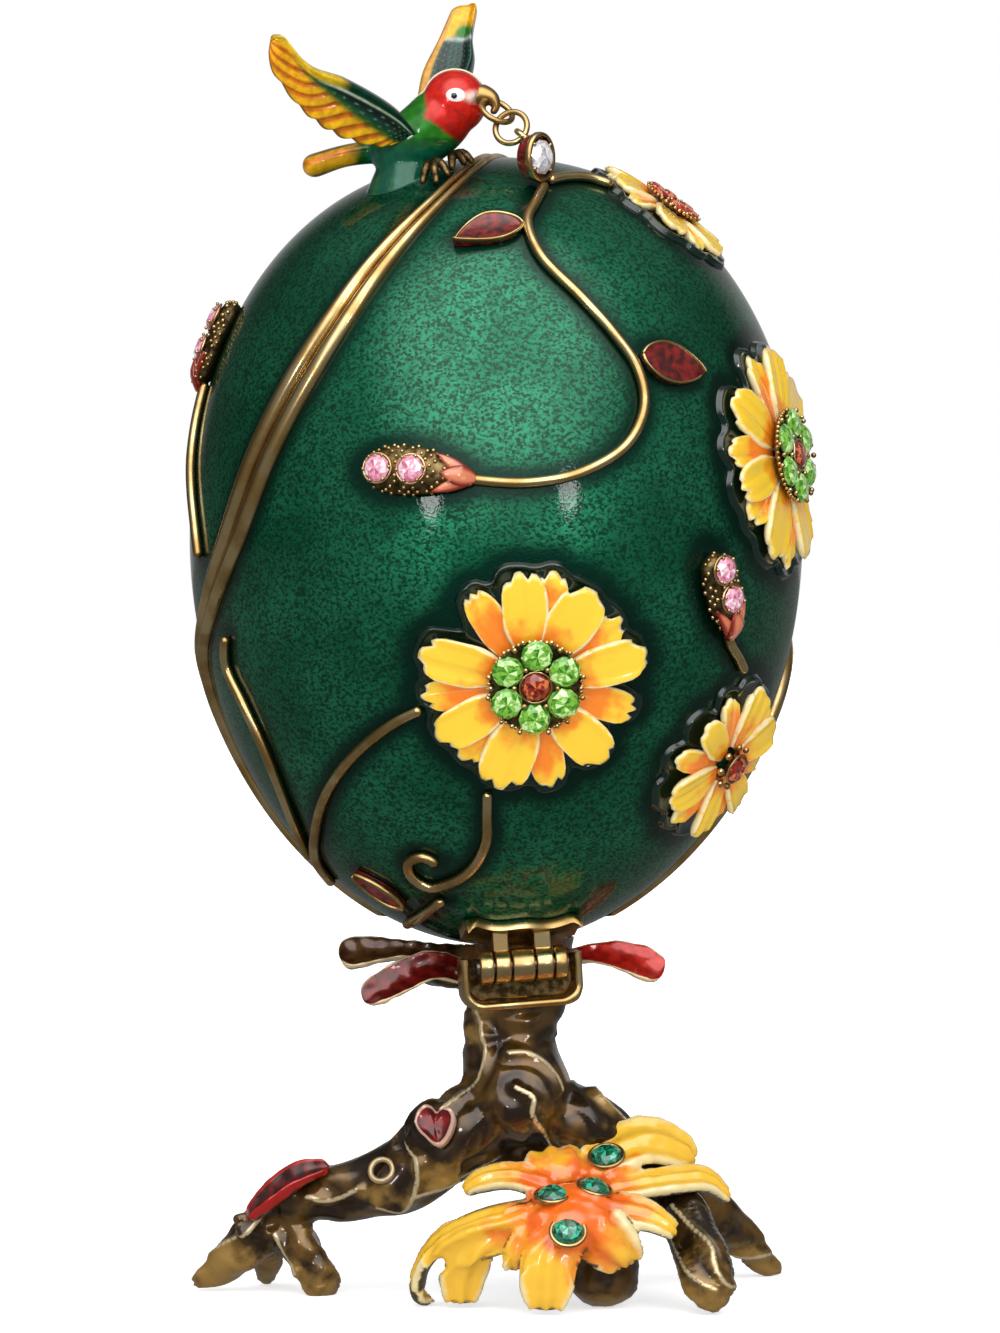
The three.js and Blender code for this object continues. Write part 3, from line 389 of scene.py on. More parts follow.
# Stippled metal under clear green glass enamel: dark pits and wrinkles in a bright green, below a mirror
# coat. The colour is painted nearly black beside everything that stands up from the egg: painted shade. The
# pits are drawn a little coarser than the real ones
green, tree, place = blank_material("translucent_green_enamel")
laid = add(tree, "VectorMath", {0: place, 1: (1.0, 1.0, 1.25)}, operation="MULTIPLY")
pit_cells = add(tree, "TexNoise", cells(laid, 0.42, 2.0, 0.4))
pits = add(tree, "MapRange", span(pit_cells, 0.34, 0.6), **SMOOTH)
wrinkle_cells = add(tree, "TexNoise", cells(laid, 1.2, 3.0, 1.2))
wrinkles = add(tree, "MapRange", span(wrinkle_cells, 0.32, 0.6, 0.55, 1.0), **SMOOTH)
worn = add(tree, "Math", {0: pits, 1: wrinkles}, operation="MULTIPLY")
bright = passing(tree, add(tree, "TexNoise", cells(place, 9.0, 1.0)), 0.35, 0.7, "#26805b", "#156a49")
stipple_share = add(tree, "MapRange", span(worn, 0.0, 1.0, 0.1, 1.0), **SMOOTH)
stipple = add(tree, "Mix", {0: stipple_share, 6: "#033522", 7: bright}, data_type="RGBA")
# Painted shade: the shells' colour goes nearly black beside the rims, vines, leaves and flowers
painted_shade_beside_raised = add(tree, "Attribute", attribute_name="deep").outputs["Fac"]
surface(
    tree, Base_Color=passing(tree, painted_shade_beside_raised, 0.0, 1.0, stipple, "#012c20"),
    Metallic=0.75, Specular_Tint=(0.05, 0.3, 0.16, 1.0),
    Roughness=add(tree, "MapRange", span(worn, 0.0, 1.0, 0.5, 0.36), **SMOOTH),
    Coat_Weight=1.0, Coat_Roughness=0.03, Coat_IOR=1.3,
    Normal=add(tree, "Bump", {"Height": worn, "Distance": 0.03 * MM, "Strength": 0.5}),
    Coat_Normal=add(tree, "Bump", {"Height": pits, "Distance": 0.006 * MM, "Strength": 0.5}))

# Antique gold plate on brass, darker and paler in patches, with a soft brushed sheen
gilt, tree, place = blank_material("antique_gold_plate")
patina = add(tree, "MapRange", span(add(tree, "TexNoise", cells(place, 4.5, 3.0)), 0.35, 0.68), **SMOOTH)
brushed = add(tree, "TexNoise", cells(place, 0.5))
surface(
    tree, Base_Color=add(tree, "Mix", {0: patina, 6: "#b8955a", 7: "#e6cc96"}, data_type="RGBA"),
    Metallic=1.0, Roughness=add(tree, "MapRange", span(patina, 0.0, 1.0, 0.33, 0.2), **SMOOTH),
    Normal=add(tree, "Bump", {"Height": brushed, "Distance": 0.015 * MM, "Strength": 0.25}))

# The same plate left dark between beads and in the hinge tray, with a duller, broken sheen
dark_gilt, tree, place = blank_material("oxidised_brass")
patina = add(tree, "MapRange", span(add(tree, "TexNoise", cells(place, 0.9, 3.0)), 0.35, 0.7), **SMOOTH)
surface(
    tree, Base_Color=add(tree, "Mix", {0: patina, 6: "#3a2f1c", 7: "#8a744e"}, data_type="RGBA"),
    Metallic=1.0, Roughness=add(tree, "MapRange", span(patina, 0.0, 1.0, 0.5, 0.3), **SMOOTH),
    Normal=add(tree, "Bump", {"Height": patina, "Distance": 0.03 * MM, "Strength": 0.4}))

# Turned steel of the hinge pin: grey, with a sheen that the turning marks break up
steel, tree, place = blank_material("turned_steel")
turned = add(tree, "TexNoise", cells(place, 0.4))
surface(
    tree, Base_Color=add(tree, "Mix", {0: turned, 6: "#6f7276", 7: "#a9adb2"}, data_type="RGBA"),
    Metallic=1.0, Roughness=add(tree, "MapRange", span(turned, 0.3, 0.7, 0.28, 0.42), **SMOOTH))

# Opaque glass enamel shaded from orange at the heart to yellow, cream where it thins on the edges
petal_enamel, tree, place = blank_material("orange_to_yellow_enamel")
flow = add(tree, "TexNoise", cells(place, 2.4, 3.0))
reach = add(tree, "Attribute", attribute_name="reach").outputs["Fac"]
spread = add(tree, "Math", {0: reach, 1: flow}, operation="ADD")
shaded = passing(tree, spread, 0.62, 1.02, "#f98518", "#f8cb32")
edge = add(tree, "Attribute", attribute_name="edge").outputs["Fac"]
rubbed = add(tree, "Math", {0: edge, 1: add(tree, "TexNoise", cells(place, 0.8))}, operation="MULTIPLY")
surface(
    tree, Base_Color=passing(tree, rubbed, 0.2, 0.44, shaded, "#f6e4ae"),
    Roughness=0.24, Coat_Weight=1.0, Coat_Roughness=0.03,
    Normal=add(tree, "Bump", {"Height": flow, "Distance": 0.08 * MM, "Strength": 0.3}))

# The foot flower's enamel: orange heart, yellow lobes, cream-gold where the casting's edge shows, brown below
foot_enamel, tree, place = blank_material("foot_flower_enamel")
flow = add(tree, "TexNoise", cells(place, 3.2, 3.0, 0.4))
reach = add(tree, "Attribute", attribute_name="reach").outputs["Fac"]
spread = add(tree, "Math", {0: reach, 1: flow}, operation="ADD")
shaded = passing(tree, spread, 0.85, 1.35, "#ef6a1a", "#f2bd35")
edge = add(tree, "Attribute", attribute_name="edge").outputs["Fac"]
rubbing = add(tree, "TexNoise", cells(place, 1.6))
rubbed = add(tree, "Math", {0: rubbing, 1: 0.3, 2: edge}, operation="MULTIPLY_ADD")
edged = passing(tree, rubbed, 0.82, 1.06, shaded, "#ecd9a0")
outlined = passing(tree, rubbed, 1.14, 1.24, edged, "#6b5228")
under = add(tree, "Attribute", attribute_name="under").outputs["Fac"]
surface(
    tree, Base_Color=add(tree, "Mix", {0: under, 6: outlined, 7: "#4a3a1c"}, data_type="RGBA"),
    Metallic=add(tree, "MapRange", span(rubbed, 1.12, 1.24, 0.0, 0.7), **SMOOTH),
    Roughness=0.24, Coat_Weight=1.0, Coat_Roughness=0.03,
    Normal=add(tree, "Bump", {"Height": flow, "Distance": 0.12 * MM, "Strength": 0.4}))

# Clear ruby enamel over foil: deep red, lighter where the foil shows through
ruby, tree, place = blank_material("ruby_enamel")
foil = add(tree, "MapRange", span(add(tree, "TexNoise", cells(place, 0.9, 3.0)), 0.35, 0.7), **SMOOTH)
surface(
    tree, Base_Color=add(tree, "Mix", {0: foil, 6: "#3d0405", 7: "#93180f"}, data_type="RGBA"),
    Metallic=0.45, Roughness=0.35, Coat_Weight=1.0, Coat_Roughness=0.02,
    Normal=add(tree, "Bump", {"Height": foil, "Distance": 0.05 * MM, "Strength": 0.4}))


def leaf_enamel(name, hollow_low, hollow_high, back, border="#dcc59a", rim=0.9):
    """Enamel in a leaf's hollow, a border of its own colour, and a bronze back."""
    made, tree, place = blank_material(name)
    foil = add(tree, "MapRange", span(add(tree, "TexNoise", cells(place, 1.2, 3.0)), 0.35, 0.7), **SMOOTH)
    hollow = add(tree, "Mix", {0: foil, 6: hollow_low, 7: hollow_high}, data_type="RGBA")
    behind = add(tree, "Mix", {0: foil, 6: "#1d140a", 7: back}, data_type="RGBA")
    inner = add(tree, "Attribute", attribute_name="inner").outputs["Fac"]
    face = passing(tree, inner, 0.0, 0.25, behind, hollow)
    aside = add(tree, "Attribute", attribute_name="aside").outputs["Fac"]
    waver = add(tree, "TexNoise", cells(place, 1.5))
    wavy = add(tree, "Math", {0: waver, 1: 0.16, 2: aside}, operation="MULTIPLY_ADD")
    surface(
        tree, Base_Color=passing(tree, wavy, rim + 0.05, rim + 0.12, face, border),
        Metallic=0.3, Roughness=0.28, Coat_Weight=1.0, Coat_Roughness=0.02, Coat_IOR=1.4,
        Normal=add(tree, "Bump", {"Height": foil, "Distance": 0.05 * MM, "Strength": 0.3}))
    return made


# Clear enamels over foil on the stand's leaves, cloudy and wet in the hollow, with a pale metal border
red = leaf_enamel("bright_red_leaf_enamel", "#a80f0d", "#d22a1c", "#4a2c12")
dark_red = leaf_enamel("dark_red_leaf_enamel", "#4a0706", "#7c130f", "#4a2c12")
brown = leaf_enamel("brown_leaf_enamel", "#3c1a0c", "#5c3a1c", "#4a381c")
heart_red = leaf_enamel("heart_leaf_enamel", "#4c0506", "#8a100e", "#2a1608", "#e0b8a4", 0.84)
curled_red = leaf_enamel("red_curled_leaf_enamel", "#2a0806", "#6e1610", "#5c100c", "#b01a12", 0.76)

# Brown glass enamel run over a gilt casting: streaked from nearly black to honey, and ivory-gold where the
# casting's ridges and toes show
bark, tree, place = blank_material("brown_enamel_over_gilt")
streaks = add(tree, "MapRange", span(add(tree, "TexNoise", cells(place, 4.2, 2.0, 0.5)), 0.4, 0.68), **SMOOTH)
honey = add(tree, "Mix", {0: streaks, 6: "#2b1c0b", 7: "#6e4f1f"}, data_type="RGBA")
ridges = add(tree, "Attribute", attribute_name="ridge").outputs["Fac"]
specks = add(tree, "TexNoise", cells(place, 1.3, 3.0))
thin = add(tree, "Math", {0: specks, 1: 0.7, 2: ridges}, operation="MULTIPLY_ADD")
shown = passing(tree, thin, 0.7, 1.35, honey, "#b08a48")
lines = add(tree, "Attribute", attribute_name="line").outputs["Fac"]
surface(
    tree, Base_Color=passing(tree, lines, 0.4, 0.8, shown, "#d8c49a"),
    Metallic=0.5, Roughness=0.28, Specular_IOR_Level=0.2,
    Coat_Weight=1.0, Coat_Roughness=0.02, Coat_IOR=1.5,
    Normal=add(tree, "Bump", {"Height": streaks, "Distance": 0.1 * MM, "Strength": 0.3}))

# Glass enamels of the bird, painted side by side and fired: colours from the painting, faint mottling
feathers, tree, place = blank_material("painted_feather_enamel")
wash_cells = add(tree, "TexNoise", cells(place, 0.9, 3.0))
wash = add(tree, "MapRange", span(wash_cells, 0.3, 0.7, 0.72, 1.12), **SMOOTH)
painted = add(tree, "Attribute", attribute_name="paint").outputs["Color"]
mottled = add(tree, "TexNoise", cells(place, 0.7, 3.0))
surface(
    tree, Base_Color=add(tree, "VectorMath", {0: painted, "Scale": wash}, operation="SCALE"),
    Metallic=0.2, Roughness=0.28, Specular_IOR_Level=0.2,
    Coat_Weight=1.0, Coat_Roughness=0.03, Coat_IOR=1.4,
    Normal=add(tree, "Bump", {"Height": mottled, "Distance": 0.04 * MM, "Strength": 0.4}))


def cut_glass(name, deep, middle, light):
    """Cut glass with painted glints: each facet's painted brightness stands for light thrown back by foil."""
    made, tree, place = blank_material(name)
    painted_glint = add(tree, "Attribute", attribute_name="painted_glint").outputs["Fac"]
    streak_cells = add(tree, "TexNoise", cells(place, 0.35, 1.0))
    streak = add(tree, "Math", {0: painted_glint, 1: streak_cells}, operation="ADD")
    low = passing(tree, streak, 0.45, 0.95, deep, middle)
    surface(
        tree, Base_Color=passing(tree, streak, 1.08, 1.4, low, light),
        Metallic=0.15, Roughness=0.08, IOR=1.62, Coat_Weight=1.0, Coat_Roughness=0.01)
    return made


# Cut glass stones, dark in most facets, a few painted light as glints that stand for flashes off foil
peridot = cut_glass("peridot_cut_glass", "#2c7a12", "#7fc040", "#dcfcb4")
topaz = cut_glass("brown_topaz_cut_glass", "#4a0c04", "#962208", "#e07a48")
red_topaz = cut_glass("red_topaz_cut_glass", "#7a1004", "#c23008", "#f08a4c")
rose = cut_glass("rose_cut_glass", "#c05f80", "#f0a3ba", "#fff0f4")
emerald = cut_glass("emerald_cut_glass", "#02382a", "#087052", "#3fc79a")
crystal = cut_glass("clear_crystal_glass", "#a8a4ac", "#e6e2e8", "#ffffff")


def plain_enamel(name, size, detail, dark, pale, **sockets):
    """Opaque glass enamel of nearly one colour under a clear coat."""
    made, tree, place = blank_material(name)
    clouds = add(tree, "TexNoise", cells(place, size, detail))
    colour = add(tree, "Mix", {0: clouds, 6: dark, 7: pale}, data_type="RGBA")
    surface(tree, Base_Color=colour, Coat_Weight=1.0, **sockets)
    return made


# White and jet black glass of the bird's eye, and the cream line over its head: hard, with a sharp highlight
eye_white = plain_enamel("white_enamel", 0.5, 2.0, "#e4e4e0", "#ffffff", Roughness=0.15)
eye_black = plain_enamel("black_enamel", 0.3, 2.0, "#050608", "#14181c", Roughness=0.1)
cream = plain_enamel("cream_enamel_line", 0.6, 2.0, "#d9cfa8", "#f4ecd0", Roughness=0.2)
# Dark green glass in a raised ridge round the flowers, painted nearly black as shade, with a sharp highlight
ridge_enamel_painted_shade = plain_enamel("ridge_enamel_with_painted_shade", 1.2, 3.0, "#010f0a", "#022419",
                    Roughness=0.1, Specular_IOR_Level=0.3, Coat_Roughness=0.02)

# Coppery enamel of the buds' sepals, pale in its middle and dark red along the edges
sepal, tree, place = blank_material("copper_red_enamel")
edge = add(tree, "Attribute", attribute_name="edge").outputs["Fac"]
face = passing(tree, edge, 0.35, 0.9, "#e0825c", "#861a0c")
foil = add(tree, "TexNoise", cells(place, 0.8))
surface(
    tree, Base_Color=passing(tree, foil, 0.6, 0.85, face, "#f2b894"),
    Metallic=0.2, Roughness=0.25, Coat_Weight=1.0, Coat_Roughness=0.02)


def finish(piece, body, material, nodes=()):
    """Gives a piece its material, the body it rides on and the nodes it stands for."""
    piece.data.materials.clear()
    piece.data.materials.append(material)
    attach(piece, body)
    if nodes:
        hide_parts(*nodes)
    return piece


# Camera at the photograph's angle, a little above the egg's middle, in metres
CAMERA_PLACE = Vector((0.00015, -0.699, 0.090))
CAMERA_AIM = Vector((0.00015, 0.001, 0.0716))
FOCAL_LENGTH = 166.7
FILM_WIDTH = 36
scene = bpy.context.scene
scene.view_settings.view_transform = "Standard"
lens = bpy.data.cameras.new("camera")
lens.sensor_fit = "AUTO"
lens.sensor_width = FILM_WIDTH
lens.lens = FOCAL_LENGTH
lens.clip_end = 10
camera = bpy.data.objects.new("camera", lens)
scene.collection.objects.link(camera)
camera.location = CAMERA_PLACE
camera.rotation_euler = (CAMERA_AIM - CAMERA_PLACE).to_track_quat("-Z", "Y").to_euler()
scene.camera = camera

# White sweep: the camera sees it lit, glossy surfaces see it dim, and everything else sees plain paper
WHITE = (1, 1, 1, 1)
FLOOR_RADIUS = 3.0
FLOOR_GLOW = 0.6
FLOOR_MIRRORED = 0.17
fresh()
bpy.ops.mesh.primitive_circle_add(vertices=96, radius=FLOOR_RADIUS, fill_type="NGON", location=(0, 0, 0))
floor = bpy.context.object
floor.name = "floor"
sweep = bpy.data.materials.new("matt_white_sweep")
sweep.use_nodes = True
tree = sweep.node_tree
tree.nodes.clear()
paper = add(tree, "BsdfDiffuse", {"Color": "#f2f2f2"})
glow = add(tree, "Emission", {"Color": WHITE, "Strength": FLOOR_GLOW})
lit = add(tree, "AddShader", {0: paper, 1: glow})
dusk = add(tree, "Emission", {"Color": WHITE, "Strength": FLOOR_MIRRORED})
rays = add(tree, "LightPath")
pick = add(tree, "MixShader", {0: rays.outputs["Is Camera Ray"], 1: paper, 2: lit})
dimmed = add(tree, "MixShader", {0: rays.outputs["Is Glossy Ray"], 1: pick, 2: dusk})
add(tree, "OutputMaterial", {0: dimmed})
floor.data.materials.append(sweep)
floor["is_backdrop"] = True

# Room: a large window high in front lights the object. Glossy surfaces mirror it between dim walls, with
# a pale backdrop behind, and the camera sees plain white
WINDOW_WAY = (0.04, -0.67, 0.74)
BACKDROP_WAY = (0.2, 1.0, 0.0)
WINDOW_MIRRORED = 2.4
BACKDROP_MIRRORED = 0.35
WINDOW_LIGHT = 2.2
ROOM_LIGHT = 0.42
world = bpy.data.worlds.new("studio")
scene.world = world
world.use_nodes = True
tree = world.node_tree
tree.nodes.clear()
rays = add(tree, "LightPath")
heading = add(tree, "TexCoord").outputs["Generated"]
toward = add(tree, "VectorMath", {0: heading, 1: WINDOW_WAY}, operation="DOT_PRODUCT")
behind = add(tree, "VectorMath", {0: heading, 1: BACKDROP_WAY}, operation="DOT_PRODUCT")
window = add(tree, "MapRange", span(toward, 0.62, 0.94), **SMOOTH)
room = add(tree, "MapRange", span(toward, -0.1, 0.62, 0.05, 0.26), **SMOOTH)
backdrop = add(tree, "MapRange", span(behind, 0.7, 0.98), **SMOOTH)
front = add(tree, "Math", {0: window, 1: WINDOW_MIRRORED, 2: room}, operation="MULTIPLY_ADD")
mirrored = add(tree, "Math", {0: backdrop, 1: BACKDROP_MIRRORED, 2: front}, operation="MULTIPLY_ADD")
soft = add(tree, "Math", {0: window, 1: WINDOW_LIGHT, 2: ROOM_LIGHT}, operation="MULTIPLY_ADD")
straight = {0: rays.outputs["Is Camera Ray"], 1: rays.outputs["Is Transmission Ray"]}
seen = add(tree, "Math", straight, operation="MAXIMUM")
unseen = add(tree, "Mix", {0: rays.outputs["Is Glossy Ray"], 2: soft, 3: mirrored}, data_type="FLOAT")
level = add(tree, "Mix", {0: seen, 2: unseen, 3: 1.0}, data_type="FLOAT")
add(tree, "OutputWorld", {0: add(tree, "Background", {"Color": WHITE, "Strength": level})})


def umbrella(name, place, width, radiance, aim=(0, 0, 0.08)):
    """A round studio umbrella, lit to a radiance and turned to the egg."""
    lamp = bpy.data.lights.new(name, "AREA")
    lamp.shape = "ELLIPSE"
    lamp.size = width
    lamp.size_y = width
    area = math.pi / 4 * width ** 2
    lamp.energy = radiance * math.pi * area
    holder = bpy.data.objects.new(name, lamp)
    scene.collection.objects.link(holder)
    holder.location = place
    holder.rotation_euler = (Vector(aim) - Vector(place)).to_track_quat("-Z", "Y").to_euler()


umbrella("umbrella_left", (-0.42, -0.95, 0.20), 0.13, 18.0)
umbrella("umbrella_right", (0.46, -0.92, 0.22), 0.13, 15.0)

# Egg halves and rims
# Places that stand up from the egg, each with its half width: the shells' enamel gets painted shade beside
# them
raised = []
PAINTED_SHADE_REACH = 1.5


def shell(name, start):
    """Half of the egg's wall, from one branch of the seam round to the other."""
    columns = 120
    rows = []
    for i in range(161):
        turn = i / 160 * math.pi
        row = []
        for depth, shares in ((0.0, range(columns + 1)), (-WALL, range(columns, -1, -1))):
            reach = (FOOT_DROP if turn < math.pi / 2 else TOP_RISE) + depth
            z = WIDEST - math.cos(turn) * reach
            r = 0.0 if i in (0, 160) else egg_radius(z, depth)
            edge = math.degrees(math.asin(min(SEAM_GAP / 2 / max(r, 1e-6), 1)))
            edge = min(edge, 89.0)
            first = seam_angle(z) + start + edge
            for j in shares:
                p = direction(first + (180 - 2 * edge) * j / columns) * r
                p.z = z
                row.append(p)
        row.append(row[0])
        rows.append(row)
    half = skin(name, rows, angle=40)
    points = points_of(half)[0]
    nearest = np.full(len(points), 9.0)
    for spot, reach in raised:
        nearest = np.minimum(nearest, np.linalg.norm(points - spot, axis=1) - reach)
    outer = np.array([egg_level(Vector(p)) > -0.03 for p in points])
    # Painted shade on the outer face: darkest at what stands up, fading out over the reach
    mark(half, "deep", np.where(outer, np.exp(-(np.clip(nearest, 0, 9) / PAINTED_SHADE_REACH) ** 1.6), 0))
    return half


# The rims are widest at mid height and draw to a point at the egg's top and foot
RIM_SHARES = [0.0, 0.08, 0.25, 0.5, 0.72, 0.85, 0.94, 1.0]
RIM_HALF_WIDTHS = [0.34, 0.42, 0.75, 1.25, 1.22, 0.85, 0.48, 0.36]
RIM_END_SHARE = -0.93


def rim_half_width(z):
    return float(np.interp((z - EGG_FOOT) / (EGG_TOP - EGG_FOOT), RIM_SHARES, RIM_HALF_WIDTHS))


def rim(name, sign, low_shares):
    """A half-round rim beside the seam, from low on one side over the egg's top to low on the other."""
    line = []
    for branch in (1, -1):
        part = []
        for i in range(401):
            turn = math.pi * (0.02 + 0.98 * i / 400)
            z = WIDEST - math.cos(turn) * (FOOT_DROP if turn < math.pi / 2 else TOP_RISE)
            if (z - WIDEST) / FOOT_DROP < low_shares:
                continue
            half = rim_half_width(z)
            off = SEAM_GAP / 2 + half
            r = egg_radius(z)
            if r <= off:
                break
            along = direction(seam_angle(z))
            aside = Vector((-along.y, along.x, 0)) * sign
            p = along * (branch * math.sqrt(r * r - off * off)) + aside * off
            p.z = z
            part.append((p, aside, half))
            if i % 4 == 0:
                raised.append((np.array(p), half))
        line += part if branch == 1 else part[::-1]
    far = [0.0]
    for (p, _, _), (q, _, _) in zip(line, line[1:]):
        far.append(far[-1] + (q - p).length)
    rows = []
    steps = 260
    for i in range(steps + 1):
        d = far[-1] * i / steps
        k = min(int(np.searchsorted(far, d)), len(line) - 1)
        k = max(k, 1)
        w = (d - far[k - 1]) / max(far[k] - far[k - 1], 1e-9)
        p = line[k - 1][0].lerp(line[k][0], w)
        aside = line[k - 1][1].lerp(line[k][1], w).normalized()
        half = line[k - 1][2] * (1 - w) + line[k][2] * w
        up = egg_normal(p)
        across = (aside - up * aside.dot(up)).normalized()
        end = min(1.0, d / 1.2, (far[-1] - d) / 1.2)
        full = math.sqrt(max(1 - (1 - end) ** 2, 0.0))
        ring = []
        for a in np.linspace(0, math.pi, 13):
            tall = math.sin(a) * min(1.0, half * 1.15) * full + 0.02
            ring.append(p + across * (math.cos(a) * half * full) + up * tall)
        ring.append(p - up * 0.12)
        ring.append(ring[0])
        rows.append(ring)
    return skin(name, rows, angle=60)


finish(rim("front_rim_gilt", 1, RIM_END_SHARE), "door", gilt, ["front_rim"])
finish(rim("rear_rim_gilt", -1, RIM_END_SHARE), "base", gilt, ["rear_rim"])

# Hinge
HINGE_CENTRE = Vector((2.9, -12.0, EGG_FOOT - 1.4))
HINGE_TURN = 10
HINGE_SLOPE = 3.5
turn, slope = math.radians(HINGE_TURN), math.radians(HINGE_SLOPE)
hinge_along = Vector((math.cos(turn) * math.cos(slope), math.sin(turn) * math.cos(slope), math.sin(slope)))
hinge_out = Vector((math.sin(turn), -math.cos(turn), 0))
hinge_up = hinge_out.cross(hinge_along)
KNUCKLE_ENDS = [-5.05, -3.3, -1.35, 1.35, 3.45, 5.05]
BARREL = 1.9


def at_hinge(along, up, out):
    """A place by the hinge, along the pin, upward and outward from its middle."""
    return HINGE_CENTRE + hinge_along * along + hinge_up * up + hinge_out * out


TRAY_HALF_WIDTH = 6.85
TRAY_LOW = -4.9
TRAY_CORNER = 2.2


def tray_ring(inset, out, top):
    """One outline of the tray that the hinge lies in: square at the top, round at its lower corners."""
    side, low = TRAY_HALF_WIDTH - inset, TRAY_LOW + inset
    corner = TRAY_CORNER - inset * 0.6
    ring = [(-side, top)]
    for a in np.linspace(0, math.pi / 2, 9):
        ring.append((-side + corner * (1 - math.cos(a)), low + corner * (1 - math.sin(a))))
    for a in np.linspace(0, math.pi / 2, 9):
        ring.append((side - corner * (1 - math.sin(a)), low + corner * (1 - math.cos(a))))
    ring += [(side, top)]
    ring += [(side * (1 - 2 * k / 8), top) for k in range(1, 8)]
    ring.append(ring[0])
    return [at_hinge(u, v, out) for u, v in ring]


# The tray from its back, over its rolled rim, to its sunk floor: inset, how far out, and its top
TRAY_PROFILE = [
    (0.25, -3.3, 0.9), (0, -3.05, 1.0), (0, -0.1, 1.0), (0.06, 0.12, 1.0), (0.22, 0.26, 1.0),
    (0.45, 0.3, 1.0), (0.68, 0.24, 1.0), (0.85, 0.05, 1.0), (0.92, -0.3, 0.98), (0.98, -1.9, 0.96),
    (1.3, -2.2, 0.9), (2.2, -2.25, 0.8),
]
tray_rows = [[at_hinge(0, -2, -3.3)] * 28]
tray_rows += [tray_ring(*step) for step in TRAY_PROFILE]
tray_rows.append([at_hinge(0, -2, -2.25)] * 28)
tray = skin("hinge_tray", tray_rows, angle=50)
points, normals = points_of(tray)
edge = np.array([0.10 * noise.noise(Vector(p) * 0.9) for p in points])
put_points(tray, points + normals * edge[:, None])
finish(tray, "base", gilt)
floor_rows = [tray_ring(*step) for step in ((1.02, -2.3, 0.9), (1.02, -2.16, 0.9), (2.0, -2.12, 0.8))]
floor_rows.append([at_hinge(0, -2, -2.12)] * 28)
finish(skin("hinge_tray_floor", floor_rows, angle=50), "base", dark_gilt)


def knuckle(name, index, web):
    """A rolled knuckle: a barrel with rounded rims, and the leaf it is rolled from."""
    left, right = KNUCKLE_ENDS[index] + 0.12, KNUCKLE_ENDS[index + 1] - 0.12
    profile = [(left, 0.0), (left, BARREL - 0.18), (left + 0.05, BARREL - 0.05), (left + 0.18, BARREL)]
    profile += [(right - 0.18, BARREL), (right - 0.05, BARREL - 0.05), (right, BARREL - 0.18), (right, 0.0)]
    rows = []
    for along, r in profile:
        rows.append([at_hinge(along, math.cos(a) * r, math.sin(a) * r)
                     for a in np.linspace(0, 2 * math.pi, 49)])
    barrel = skin(name, rows, angle=50)
    low, high, back, front = web
    fresh()
    bpy.ops.mesh.primitive_cube_add(size=1)
    leaf_web = bpy.context.object
    frame_of = Matrix((hinge_along, hinge_up, hinge_out)).transposed().to_4x4()
    middle = at_hinge((left + right) / 2, (low + high) / 2, (back + front) / 2)
    sizes = Matrix.Diagonal((right - left, high - low, front - back, 1))
    leaf_web.data.transform(Matrix.Translation((middle + AXIS) * MM) @ frame_of @ Matrix.Scale(MM, 4) @ sizes)
    modifier = leaf_web.modifiers.new("eased", "BEVEL")
    modifier.width = 0.12 * MM
    modifier.segments = 2
    bpy.ops.object.modifier_apply(modifier=modifier.name)
    return joined(name, [barrel, leaf_web])


for index in (0, 2, 4):
    finish(knuckle(f"hinge_knuckle_{index + 1}", index, (-1.4, 0.9, -2.5, -0.3)), "base", gilt,
           ["hinge_lower_leaf"])
for index in (1, 3):
    finish(knuckle(f"hinge_knuckle_{index + 1}", index, (0.2, 4.0, -1.1, 0.5)), "door", gilt)

# Lip of the upper leaf: a strap laid on the egg's foot, its front edge waved. Its section is given by
# how far out each point lies and its share of the way down to the egg
LIP_HALF_LENGTH = 6.6
LIP_THICKNESS = 1.15
LIP_SECTION = [(-3.2, 0), (-2.0, 0), (-0.8, 0), (0.4, 0), (0.8, 0), (0.95, 0.5),
               (0.8, 1), (0.3, 1.05), (-0.8, 1), (-2.0, 1), (-3.2, 1)]
lip_rows = []
for i in range(33):
    u = LIP_HALF_LENGTH * (2 * i / 32 - 1)
    end = min(1.0, (LIP_HALF_LENGTH - abs(u)) / 0.5)
    full = math.sqrt(max(1 - (1 - end) ** 2, 0.0))
    ring = []
    for out, up_share in LIP_SECTION:
        wave = 0.35 * math.cos(u * 0.9) + 0.25 * (abs(u) / LIP_HALF_LENGTH) ** 3
        start = at_hinge(u, 0, out + (wave if out > -1 else 0))
        r = math.hypot(start.x, start.y)
        low, high = EGG_FOOT, WIDEST
        for _ in range(30):
            middle = (low + high) / 2
            low, high = (middle, high) if egg_radius(middle) < r else (low, middle)
        p = Vector((start.x, start.y, low))
        thickness = LIP_THICKNESS * (1 - up_share)
        ear = min(max((abs(u) - 4.9) / 1.5, 0), 1) ** 2 * max(out, 0)
        ring.append(p + egg_normal(p) * (0.12 + thickness * full) - hinge_up * (2.1 * ear))
    ring.append(ring[0])
    lip_rows.append(ring)
finish(skin("hinge_lip", lip_rows, angle=50), "door", gilt, ["hinge_upper_leaf"])
PIN_PROFILE = [(-5.3, 0.0), (-5.3, 0.55), (-5.15, 0.8), (5.15, 0.8), (5.3, 0.55), (5.3, 0.0)]
pin_rows = []
for along, r in PIN_PROFILE:
    pin_rows.append([at_hinge(along, math.cos(a) * r, math.sin(a) * r)
                     for a in np.linspace(0, 2 * math.pi, 33)])
finish(skin("hinge_pin_turned", pin_rows, angle=50), "base", steel, ["hinge_pin"])

# Templates for stones, beads and prongs
# Levels of a cut stone: height and radius as shares of its radius, and a shift in facets
CUT = [(0.0, 0.0, 0), (0.0, 0.6, 0), (0.30, 0.97, 0), (0.38, 1.0, 0), (0.56, 0.82, 0.5), (0.72, 0.56, 0),
       (0.74, 0.0, 0)]
FACETS = 10
